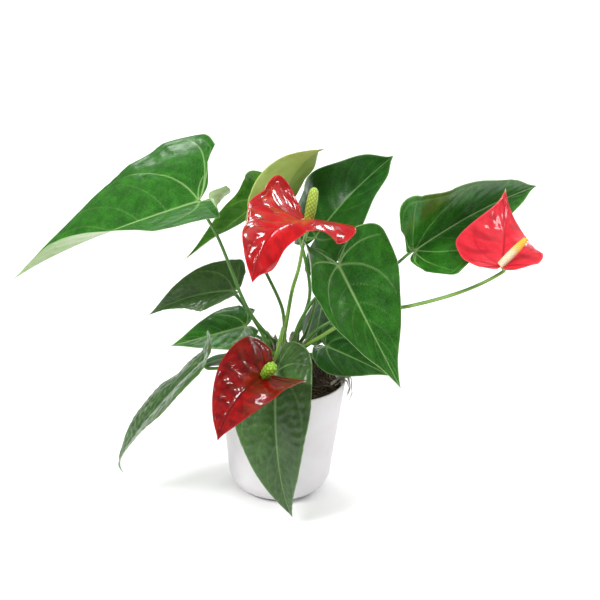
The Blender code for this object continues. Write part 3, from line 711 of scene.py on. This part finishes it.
def sweepTube(line, radii, segments, groove=0.0):
    # Rings along a line that don't twist about it; groove flattens one side, as on a leaf stalk.
    points = []
    across = None
    turns = turnsRound(segments)
    shape = 1.0 - groove * np.maximum(np.cos(turns), 0.0) ** 3
    for i, place in enumerate(line):
        ahead = line[min(i + 1, len(line) - 1)] - line[max(i - 1, 0)]
        ahead = ahead / np.linalg.norm(ahead)
        if across is None:
            across = np.cross(ahead, (0.0, 1.0, 0.2))
        across = across - ahead * (across @ ahead)
        across = across / np.linalg.norm(across)
        other = np.cross(ahead, across)
        ring = np.outer(np.cos(turns) * shape, across) + np.outer(np.sin(turns) * shape, other)
        points.extend(place + radii[i] * ring)
    return points


def makeStalk(name, spec, form, radius, material):
    b = stalkBuild
    foot, rise = seatRoute(*spec["seat"])
    place, up = form.stalkJoint()
    route = [foot, rise, *spec["via"], place - up * b["bend"], place - up * 0.2]
    coarse = smoothCurve(route, 60)
    length = np.linalg.norm(np.diff(coarse, axis=0), axis=1).sum()
    steps = max(24, int(length / b["ringSpacing"]))
    line = smoothCurve(route, steps)
    share = np.linspace(0.0, 1.0, steps)
    gone, left = share * length, (1.0 - share) * length
    radii = radius * np.interp(share, (0.0, 1 / 3, 2 / 3, 1.0), (1.1, 1.0, 0.9, 0.8))
    radii *= 1.0 + b["knee"] * np.exp(-(((left - b["kneeBelow"]) / b["kneeLength"]) ** 2))
    radii *= 1.0 + b["sheath"] * smoothStep(b["sheathLength"], b["sheathLength"] - b["sheathTaper"], gone)
    segments = b["segments"]
    points = sweepTube(line, radii, segments, b["groove"])
    faces = tubeFaces(steps, segments)
    turns = np.linspace(-math.pi, math.pi, segments, endpoint=False)
    seed = 11.0 * len(bpy.data.objects)
    place = [(s, 2.0 * math.sin(turn) * radius, seed + 2.0 * math.cos(turn)) for s in gone for turn in turns]
    marks = {"alongStalk": place, "foot": np.repeat(smoothStep(*b["brownFoot"], gone), segments)}
    return standFor(makeMesh(name + "_stalk", points, faces, material, marks), name)


# Spadix: a fleshy spike packed with tiny flowers in crossing spirals. It gives a matt, beaded
# surface with light flower heads and darker green between them.
spadixSpecs = {  # around: florets round each spiral; pitch: between florets along it; height: of a floret
    "spadix_1": dict(
        length=34, radii=(4.4, 5.2, 5, 3.8), heading=-42, rise=80, around=(9, -7), pitch=4.6, height=0.42,
        low=("#6f962c", "#b0cc58"), high=("#88ae38", "#c2d868"), slot="spadix_green",
    ),
    "spadix_2": dict(
        length=28, radii=(4.4, 5.3, 5.6, 4.6), heading=-68, rise=43, around=(6, -5), pitch=6.5, height=0.95,
        low=("#4f7d15", "#8ab832"), high=("#6b9a1e", "#a3cc45"), slot="spadix_green",
    ),
    "spadix_3": dict(
        length=36, radii=(4, 4.2, 3.8, 2.6), heading=-9, rise=53, around=(11, -8), pitch=4.0, height=0.14,
        low=("#d8cfa6", "#efe6c6"), high=("#e6a528", "#f7cf52"), slot="spadix_yellow",
    ),
}


def spadixFlesh(name, low, high):
    material, tree, shader, read = newMaterial(name, "spadixPlace", "floret", "ripe")
    lower, upper = [addNode(tree, "ShaderNodeMix", {0: read["floret"]["Fac"], 6: linear(dark),
                                                    7: linear(light)}, data_type="RGBA").outputs[2]
                    for dark, light in (low, high)]
    body = addNode(tree, "ShaderNodeMix", {0: read["ripe"]["Fac"], 6: lower, 7: upper}, data_type="RGBA")
    speckle = addNode(tree, "ShaderNodeTexNoise", {"Vector": read["spadixPlace"]["Vector"],
                                                   "Scale": 1 / 1.4, "Detail": 3.0})
    tone = addNode(tree, "ShaderNodeMapRange", {"Value": speckle, "To Min": 0.8, "To Max": 1.15})
    toned = addNode(tree, "ShaderNodeVectorMath", {0: body.outputs[2], "Scale": tone}, operation="SCALE")
    gloss = addNode(tree, "ShaderNodeMapRange", {"Value": speckle, "To Min": 0.45, "To Max": 0.65})
    fillSockets(shader, {"Base Color": toned, "Roughness": gloss, "IOR": 1.42})
    return material


def makeSpadix(name, spec, form):
    place, up = form.stalkJoint()
    ahead = startingAxes(spec["heading"], spec["rise"], 0)[0]
    rows, columns = int(110 * detail), int(96 * detail)
    sink = 1.2  # how far the foot goes into the spathe's sinus
    share = np.linspace(0.0, 1.0, rows)[:, None]
    turn = turnsRound(columns)[None, :]
    length = spec["length"] + sink
    cap = np.sqrt(1.0 - np.clip((share - 0.86) / 0.14, 0.0, 1.0) ** 2)
    radius = np.interp(share, np.linspace(0.0, 1.0, 4), spec["radii"]) * cap
    rise = 2.0 * math.pi * share * length / spec["pitch"]
    first, second = (0.5 + 0.5 * np.cos(spirals * turn + rise) for spirals in spec["around"])
    floret = (first * second) ** 0.6
    swell = radius + spec["height"] * (floret - 0.4) * np.sqrt(cap)
    swell = np.where(share >= 1.0, 0.02, swell)
    across = np.cross(ahead, (0.3, 0.9, 0.1))
    across /= np.linalg.norm(across)
    other = np.cross(ahead, across)
    centre = place + up * 0.9 + ahead * (share * length - sink)[..., None]
    points = (centre + (swell * np.cos(turn))[..., None] * across
              + (swell * np.sin(turn))[..., None] * other).reshape(-1, 3)
    marks = {
        "spadixPlace": points,
        "floret": floret.ravel(),
        "ripe": np.broadcast_to(smoothStep(0.35, 0.8, share), floret.shape).ravel(),
    }
    material = spadixFlesh(name + "Flesh", spec["low"], spec["high"])
    item = makeMesh(name + "_spike", points, tubeFaces(rows, columns), material, marks)
    return standFor(item, name)


# The cover pot: a plain tapered shell with a rounded foot and rim.
potBuild = dict(height=126.0, rimRadius=65.0, shoulderRadius=53.0, shoulderHeight=25.0, footRadius=28.0,
                wall=2.0, segments=160, cornerSteps=16, wallSteps=10)


def whitePolypropylene():
    # Polypropylene, injection moulded in a fine-textured tool: slightly translucent cool white with a
    # soft satin gloss, faint flow clouds and a fine grain.
    material, tree, shader, _ = newMaterial("whitePolypropylene")
    place = addNode(tree, "ShaderNodeTexCoord").outputs["Object"]
    clouds = addNode(tree, "ShaderNodeTexNoise", {"Vector": place, "Scale": 1 / (45 * mm), "Detail": 3.0})
    white = addNode(tree, "ShaderNodeValToRGB", {"Fac": clouds}, stops=((0.3, "#d3cfd2"), (0.7, "#dedcde")))
    # The tool's grain is about 0.2 mm; drawn at 0.9 mm so that it shows.
    grain = addNode(tree, "ShaderNodeTexNoise", {"Vector": place, "Scale": 1 / (0.9 * mm), "Detail": 2.0})
    bump = addNode(tree, "ShaderNodeBump", {"Height": grain, "Strength": 0.08, "Distance": 0.0002})
    gloss = addNode(tree, "ShaderNodeMapRange", {"Value": clouds, "To Min": 0.36, "To Max": 0.46})
    fillSockets(shader, {"Base Color": white, "Roughness": gloss, "Normal": bump, "IOR": 1.49,
                         "Subsurface Weight": 0.1, "Subsurface Scale": 0.004})
    return material


def turned(name, profile, segments, material):
    # A solid of revolution from a profile that starts and ends on the axis.
    turns = turnsRound(segments)
    points = [(0.0, 0.0, profile[0][1])]
    for radius, height in profile[1:-1]:
        points.extend((radius * math.cos(turn), radius * math.sin(turn), height) for turn in turns)
    points.append((0.0, 0.0, profile[-1][1]))
    return makeMesh(name, points, turnedFaces(len(profile) - 2, segments), material)


def potOutline(inset):
    # From the middle of the base round the foot and up the wall to just under the rim.
    b = potBuild
    profile = [(0.0, inset)]
    for step in range(b["cornerSteps"] + 1):
        turn = math.radians(90.0 * step / b["cornerSteps"])
        radius = b["footRadius"] + (b["shoulderRadius"] - b["footRadius"]) * math.sin(turn)
        height = b["shoulderHeight"] * (1.0 - math.cos(turn))
        profile.append((radius - inset * math.sin(turn), height + inset * math.cos(turn)))
    top = b["height"] - 0.5 * b["wall"]
    for step in range(1, b["wallSteps"] + 1):
        height = b["shoulderHeight"] + (top - b["shoulderHeight"]) * step / b["wallSteps"]
        profile.append((wallRadius(height) - inset, height))
    return profile


def wallRadius(height):
    b = potBuild
    lean = (b["rimRadius"] - b["shoulderRadius"]) / (b["height"] - b["shoulderHeight"])
    return b["shoulderRadius"] + lean * (height - b["shoulderHeight"])


def makePot():
    b = potBuild
    outside, inside = potOutline(0.0), potOutline(b["wall"])
    half = 0.5 * b["wall"]
    lip = []
    for step in range(1, 8):
        turn = math.pi * step / 8
        lip.append((outside[-1][0] - half + half * math.cos(turn), outside[-1][1] + half * math.sin(turn)))
    item = turned("cover_pot_shell", outside + lip + inside[::-1], b["segments"], whitePolypropylene())
    return standFor(item, "cover_pot")


# The potting mix: heaped behind the crown, with crumbs of peat and bark and a litter of root fibres.
mixBuild = dict(edge=114.0, heapCentre=(-12.0, 34.0), heapHeight=36.0, heapWidth=34.0, gap=0.3,
                ledge=(6.0, 10.0), rings=70, segments=220, depth=20.0, crumbs=520, fibres=420)


def peatMix(name, colours, roughness):
    # Peat moss with composted bark: nearly black-brown when damp, rust-brown and grey where it has
    # dried; quite matt, with a crumbly grain about 1.5 mm across.
    material, tree, shader, _ = newMaterial(name)
    place = addNode(tree, "ShaderNodeTexCoord").outputs["Object"]
    crumb = addNode(tree, "ShaderNodeTexNoise", {"Vector": place, "Scale": 1 / (3.5 * mm), "Detail": 8.0,
                                                 "Roughness": 0.75})
    brown = addNode(tree, "ShaderNodeValToRGB", {"Fac": crumb}, stops=zip((0.36, 0.52, 0.68), colours))
    grain = addNode(tree, "ShaderNodeTexNoise", {"Vector": place, "Scale": 1 / (1.5 * mm), "Detail": 4.0})
    bump = addNode(tree, "ShaderNodeBump", {"Height": grain, "Strength": 0.7, "Distance": 0.001})
    rough = addNode(tree, "ShaderNodeMapRange", {"Value": crumb, "To Min": roughness - 0.1,
                                                 "To Max": roughness + 0.05})
    fillSockets(shader, {"Base Color": brown, "Roughness": rough, "Normal": bump})
    return material


def mixHeight(x, y):
    b, c = mixBuild, crownPlace
    uneven = 1.1 * np.sin(0.31 * x + 0.6) * np.cos(0.27 * y) + 0.7 * np.sin(0.53 * (x + y))
    heap = np.hypot(x - b["heapCentre"][0], y - b["heapCentre"][1]) / b["heapWidth"]
    height = b["edge"] + uneven + b["heapHeight"] * np.exp(-heap * heap)
    seat = np.hypot(x - c["centre"][0], y - c["centre"][1]) - c["radius"]
    level = np.clip(1.0 - (seat - b["ledge"][0]) / b["ledge"][1], 0.0, 1.0)  # flat round the crown
    return height + (c["foot"] - b["gap"] - height) * level


def makeMix(material):
    b = mixBuild
    edge = wallRadius(b["edge"]) - potBuild["wall"] - b["gap"]
    radius = np.linspace(edge, 0.4, b["rings"])[:, None]
    turn = turnsRound(b["segments"])[None, :]
    x, y = radius * np.cos(turn), radius * np.sin(turn)
    height = mixHeight(x, y)
    for size, pitch, seed in ((0.8, 5.0, 3), (0.45, 2.2, 4), (0.25, 1.2, 5)):
        height = height + size * ripple(x, y, pitch, seed)
    top = np.stack([x, y, height], axis=-1).reshape(-1, 3)
    bottom = b["edge"] - b["depth"]
    side = [(px * 0.985, py * 0.985, bottom) for px, py, _ in top[:b["segments"]]]
    points = [(0.0, 0.0, bottom), *side, *top, (0.0, 0.0, float(mixHeight(0.0, 0.0)))]
    faces = turnedFaces(b["rings"] + 1, b["segments"])
    return standFor(makeMesh("potting_mix_top", points, faces, material), "potting_mix")


def scatterPlaces(count, random):
    # Places on the mix, off the crown.
    wallGap, crownReach = 3.0, 9.0
    reach = wallRadius(mixBuild["edge"]) - potBuild["wall"] - wallGap
    places = []
    while len(places) < count:
        x, y = random.uniform(-reach, reach, 2)
        offCrown = math.hypot(x - crownPlace["centre"][0], y - crownPlace["centre"][1]) > crownReach
        if math.hypot(x, y) < reach and offCrown:
            places.append((x, y))
    return places


def makeCrumbs(material):
    # Small angular lumps, each a cube cut to an uneven eight-cornered stone and half sunk in the mix.
    random = np.random.RandomState(21)
    points, faces = [], []
    corners = np.array([(x, y, z) for x in (-1, 1) for y in (-1, 1) for z in (-1, 1)], float)
    cube = ((0, 1, 3, 2), (4, 6, 7, 5), (0, 4, 5, 1), (2, 3, 7, 6), (0, 2, 6, 4), (1, 5, 7, 3))
    for x, y in scatterPlaces(mixBuild["crumbs"], random):
        size = random.uniform(0.5, 1.9)
        stretch = random.uniform(0.6, 1.3, 3)
        turn = random.uniform(0.0, 2.0 * math.pi)
        lump = corners * stretch * size * random.uniform(0.7, 1.15, (8, 1))
        lump[:, :2] = lump[:, :2] @ np.array([[math.cos(turn), -math.sin(turn)],
                                              [math.sin(turn), math.cos(turn)]])
        first = len(points)
        points.extend(lump + (x, y, float(mixHeight(x, y)) + 0.35 * size))
        faces.extend(tuple(first + i for i in face) for face in cube)
    item = makeMesh("peat_crumbs", points, faces, material)
    soft = item.modifiers.new("Rounded lumps", "SUBSURF")
    soft.levels = soft.render_levels = 1
    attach(item, "root")


def makeFibres(name, count, seed, lengths, radius, lift, material):
    # Hair-like roots and bark fibres that arch over the mix in all directions.
    random = np.random.RandomState(seed)
    points, faces = [], []
    steps, segments = 9, 5
    for x, y in scatterPlaces(count, random):
        length = random.uniform(*lengths)
        heading = random.uniform(0.0, 2.0 * math.pi)
        curve = random.uniform(-1.6, 1.6)
        arch = random.uniform(0.0, lift)
        line = []
        for t in np.linspace(0.0, 1.0, steps):
            turn = heading + curve * t
            px = x + length * (t - 0.5) * math.cos(turn)
            py = y + length * (t - 0.5) * math.sin(turn)
            inside = min(1.0, 60.0 / max(math.hypot(px, py), 1.0))
            px, py = px * inside, py * inside
            line.append((px, py, float(mixHeight(px, py)) + 0.4 + arch * math.sin(math.pi * t)))
        first = len(points)
        thin = radius * random.uniform(0.6, 1.3) * np.sin(np.linspace(0.35, math.pi - 0.2, steps))
        points.extend(sweepTube(np.array(line), thin, segments))
        faces.extend(tubeFaces(steps, segments, first))
    item = makeMesh(name, points, faces, material)
    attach(item, "root")


# The crown: a knobbly stub of old stem with dried sheaths round the stalks.
def makeCrown(material):
    c = crownPlace
    rows, columns = 26, 96
    share = np.linspace(0.0, 1.0, rows)[:, None]
    turn = turnsRound(columns)[None, :]
    radius = (c["radius"] + 0.4) * np.cos(0.5 * math.pi * share) + 0.02
    dome = c["foot"] + c["collar"] + (c["top"] - c["foot"] - c["collar"]) * np.sin(0.5 * math.pi * share)
    knob = 0.7 * ripple(turn * 17.0, share * 20.0, 5.0, 8) * (1.0 - share) + 0.4 * np.cos(9.0 * turn)
    radius = radius * (1.0 + 0.03 * knob)
    x = c["centre"][0] + radius * np.cos(turn)
    y = c["centre"][1] + radius * np.sin(turn)
    z = dome + 0.5 * ripple(x, y, 3.0, 9)
    upper = np.stack([x, y, z], axis=-1)
    foot = upper[0] * (1.0, 1.0, 0.0) + (0.0, 0.0, c["foot"] - 1.0)
    points = np.concatenate([foot, upper.reshape(-1, 3)])
    item = makeMesh("crown_stub", points, tubeFaces(rows + 1, columns), material)
    return standFor(item, "crown")


def driedSheathPaper():
    # Dead leaf sheath: thin, fibrous and papery. It gives dull grey-tan with lengthwise fibres.
    material, tree, shader, read = newMaterial("driedSheathPaper", "ribbonPlace")
    stretched = addNode(tree, "ShaderNodeMapping", {"Vector": read["ribbonPlace"]["Vector"],
                                                    "Scale": (1 / 9, 1 / 0.9, 1.0)})
    fibre = addNode(tree, "ShaderNodeTexNoise", {"Vector": stretched, "Scale": 1.0,
                                                 "Detail": 5.0})  # fibres about 1 mm apart
    tan = addNode(tree, "ShaderNodeValToRGB", {"Fac": fibre},
                  stops=((0.3, "#6d655a"), (0.5, "#a39b90"), (0.7, "#cfcac3")))
    rough = addNode(tree, "ShaderNodeMapRange", {"Value": fibre, "To Min": 0.75, "To Max": 0.95})
    bump = addNode(tree, "ShaderNodeBump", {"Height": fibre, "Strength": 0.5, "Distance": 0.0005})
    fillSockets(shader, {"Base Color": tan, "Roughness": rough, "Normal": bump})
    return material


def ribbon(line, widths, across, cup, thickness=0.35, columns=9):
    # A thin closed strip along a line, as wide as widths and cupped by that share of its width.
    rows = len(line)
    t = np.linspace(-1.0, 1.0, columns)[None, :, None]
    across = np.asarray(across, float)
    ahead = np.gradient(line, axis=0)
    up = np.cross(ahead, across)
    up /= np.linalg.norm(up, axis=1, keepdims=True)
    half = 0.5 * np.asarray(widths)[:, None, None]
    sheet = line[:, None] + across * half * t + up[:, None] * half * cup * t**2
    edge = np.sqrt(1.0 - 0.99 * t**2) * 0.5 * thickness
    above, below = sheet + up[:, None] * edge, sheet - up[:, None] * edge
    points = np.concatenate([above, below[:, ::-1]], axis=1).reshape(-1, 3)
    place = [(3.0 * i, half[i, 0, 0] * s, 0.0) for i in range(rows)
             for s in np.concatenate([t[0, :, 0], t[0, ::-1, 0]])]
    return points, tubeFaces(rows, 2 * columns), place


def joinParts(parts):
    points, faces, places = [], [], []
    for partPoints, partFaces, partPlaces in parts:
        first = len(points)
        points.extend(partPoints)
        faces.extend(tuple(first + i for i in face) for face in partFaces)
        places.extend(partPlaces)
    return points, faces, places


wispRoutes = (  # an old sheath over the rim at the right, torn into strips at its end
    dict(via=((50, -6, 119), (58, -7, 126), (64.5, -8, 129.6), (68.4, -9, 124), (67.6, -11, 111)),
         widths=(6, 9, 9, 6, 2.0)),
    dict(via=((57, -2, 124), (64, -2.5, 130), (69.5, -3, 126), (71.5, -4, 114), (70, -5, 103)),
         widths=(3, 4, 4, 3.2, 0.8)),
    dict(via=((54, -12, 121), (62, -13, 128.6), (67.4, -14, 124), (67.2, -15, 115)),
         widths=(3, 5, 3.5, 1.0)),
)


def makeWisp(material):
    parts = []
    for strip in wispRoutes:
        line = smoothCurve(strip["via"], 36)
        share = np.linspace(0.0, 1.0, 36)
        widths = np.interp(share, np.linspace(0.0, 1.0, len(strip["widths"])), strip["widths"])
        widths = widths * (1.0 + 0.18 * np.sin(23.0 * share))
        line = line + np.stack([0.5 * np.sin(17.0 * share), 0.0 * share, 0.4 * np.cos(21.0 * share)], -1)
        parts.append(ribbon(line, widths, (0.0, 1.0, 0.0), 0.35))
    points, faces, places = joinParts(parts)
    item = makeMesh("dried_wisp", points, faces, material, {"ribbonPlace": places})
    return standFor(item, "dried_sheath")


def makeCrownSheaths(material):
    # Dried scale leaves that stand round the stalks' feet.
    random = np.random.RandomState(5)
    parts = []
    for i in range(11):
        bearing = 2.0 * math.pi * (i + random.uniform(0.0, 0.6)) / 11
        out = np.array([math.cos(bearing), math.sin(bearing), 0.0])
        foot = np.array([*crownPlace["centre"], domeHeight(13.0) - 1.0]) + out * random.uniform(11.0, 15.0)
        height = random.uniform(11.0, 20.0)
        lean = random.uniform(0.1, 0.5)
        share = np.linspace(0.0, 1.0, 18)[:, None]
        line = foot + share * (0.0, 0.0, height) + out * lean * height * share**2
        widths = random.uniform(5.0, 8.0) * np.sqrt(np.sin(np.linspace(0.5, math.pi - 0.03, 18)))
        parts.append(ribbon(line, widths, (-out[1], out[0], 0.0), -0.35))
    points, faces, places = joinParts(parts)
    item = makeMesh("crown_sheaths", points, faces, material, {"ribbonPlace": places})
    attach(item, "root")


print("blades")
leafMaterials = {kind: leafCuticle(kind + "LeafCuticle", **look) for kind, look in leafLooks.items()}
spatheMaterials = {kind: spatheLacquer(kind + "SpatheLacquer", **look)
                   for kind, look in spatheLooks.items()}
bladeMaterials = {**leafMaterials, **spatheMaterials}
forms = {}
for seed, (name, spec) in enumerate(bladeSpecs.items()):
    kind = spec["look"]
    forms[name] = BladeForm(**spec)
    makeBlade(name + "_blade", forms[name], bladeBuilds[kind], bladeMaterials[kind],
              seed)

print("stalks and spadices")
stalkMaterials = {kind: stalkSkin(kind, **look) for kind, look in stalkLooks.items()}
for name, spec in stemSpecs.items():
    kind = name.split("_")[0]
    makeStalk(name, spec, forms[bladeOf(name)], stalkBuild[kind + "Radius"], stalkMaterials[kind + "Green"])
for name, spec in spadixSpecs.items():
    makeSpadix(name, spec, forms[bladeOf(name)])

print("pot and potting mix")
makePot()
darkPeat = peatMix("dampPeat", ("#120c08", "#2b1e15", "#4a382a"), 0.9)
makeMix(darkPeat)
makeCrumbs(peatMix("barkCrumbs", ("#1a110b", "#3b2a1d", "#6a523e"), 0.85))
rootFibre = peatMix("rootFibre", ("#3a2c20", "#6b5746", "#9a8672"), 0.85)
makeFibres("peat_fibres", mixBuild["fibres"], 31, (7.0, 20.0), 0.32, 3.5, rootFibre)
makeCrown(peatMix("crownBark", ("#2b2614", "#4a4a22", "#6d6a38"), 0.8))
sheathPaper = driedSheathPaper()
makeCrownSheaths(sheathPaper)
makeWisp(sheathPaper)


# Floor, light and camera.
studio = dict(floorSize=14.0, floorColour=("#f2f2f2", "#f7f7f7"), worldStrength=0.16)
plantMiddle = (0.0, 0.0, 0.2)
lamps = {  # place and aim in metres, size of the soft box, power in watts, and whether gloss shows it
    "keyBox": dict(place=(-1.1, -1.2, 1.5), aim=plantMiddle, size=(0.55, 0.55), power=30.0, shows=True),
    "fillBox": dict(place=(1.6, -1.0, 0.9), aim=plantMiddle, size=(0.9, 0.9), power=4.0, shows=False),
    "ceilingBox": dict(place=(0.0, 0.0, 4.0), aim=(0.0, 0.0, 0.0), size=(11.0, 11.0), power=470.0,
                       shows=False),
    "farBox": dict(place=(0.0, 4.4, 3.0), aim=(0.0, 4.8, 0.0), size=(8.0, 3.0), power=110.0, shows=False),
    "rimBox": dict(place=(-0.5, 1.3, 1.2), aim=plantMiddle, size=(0.4, 0.3), power=3.5, shows=True),
    "backBox": dict(place=(1.0, 1.6, 0.8), aim=(0.0, 0.0, 0.25), size=(0.3, 0.25), power=5.5, shows=True),
    "sideBox": dict(place=(1.45, 0.35, 1.15), aim=plantMiddle, size=(0.28, 0.28), power=5.5, shows=True),
}
cameraPlan = dict(aim=(0.0155, 0.0, 0.209), distance=1.5, pitch=22.0, roll=2.0, lens=90.0, sensor=36.0)


def paintedBoard():
    # Studio floor: matt white emulsion on board, nearly even, with a roller's faint clouding.
    material, tree, shader, _ = newMaterial("paintedBoard")
    place = addNode(tree, "ShaderNodeTexCoord").outputs["Object"]
    clouds = addNode(tree, "ShaderNodeTexNoise", {"Vector": place, "Scale": 2.0, "Detail": 2.0})
    white = addNode(tree, "ShaderNodeValToRGB", {"Fac": clouds}, stops=zip((0.3, 0.7), studio["floorColour"]))
    fillSockets(shader, {"Base Color": white, "Roughness": 0.9, "Specular IOR Level": 0.2})
    return material


def makeFloor():
    half = 500.0 * studio["floorSize"]
    corners = [(-half, -half, 0.0), (half, -half, 0.0), (half, half, 0.0), (-half, half, 0.0)]
    makeMesh("studio_floor", corners, [(0, 1, 2, 3)], paintedBoard())


def lightRoom():
    world = bpy.data.worlds.new("paleStudio")
    bpy.context.scene.world = world
    bpy.context.scene.view_settings.view_transform = "Standard"  # keeps the reds and greens as mixed
    world.use_nodes = True
    air = world.node_tree.nodes["Background"]
    air.inputs["Color"].default_value = linear("#fbfcff")
    air.inputs["Strength"].default_value = studio["worldStrength"]
    for name, plan in lamps.items():
        light = bpy.data.lights.new(name, "AREA")
        light.shape = "RECTANGLE"
        light.size, light.size_y = plan["size"]
        light.energy = plan["power"]
        lamp = bpy.data.objects.new(name, light)
        bpy.context.scene.collection.objects.link(lamp)
        lamp.location = plan["place"]
        lamp.visible_glossy = plan["shows"]
        way = Vector(plan["aim"]) - Vector(plan["place"])
        lamp.rotation_euler = way.to_track_quat("-Z", "Y").to_euler()


def placeCamera():
    plan = cameraPlan
    view = bpy.data.cameras.new("studioCamera")
    view.lens, view.sensor_width = plan["lens"], plan["sensor"]
    view.clip_start, view.clip_end = 0.05, 50.0
    camera = bpy.data.objects.new("studioCamera", view)
    bpy.context.scene.collection.objects.link(camera)
    pitch, roll = math.radians(plan["pitch"]), math.radians(plan["roll"])
    turn = Matrix.Rotation(math.radians(90.0) - pitch, 4, "X") @ Matrix.Rotation(roll, 4, "Z")
    ahead = Vector((0.0, math.cos(pitch), -math.sin(pitch)))
    camera.matrix_world = Matrix.Translation(Vector(plan["aim"]) - ahead * plan["distance"]) @ turn
    bpy.context.scene.camera = camera


print("floor, light and camera")
makeFloor()
lightRoom()
placeCamera()
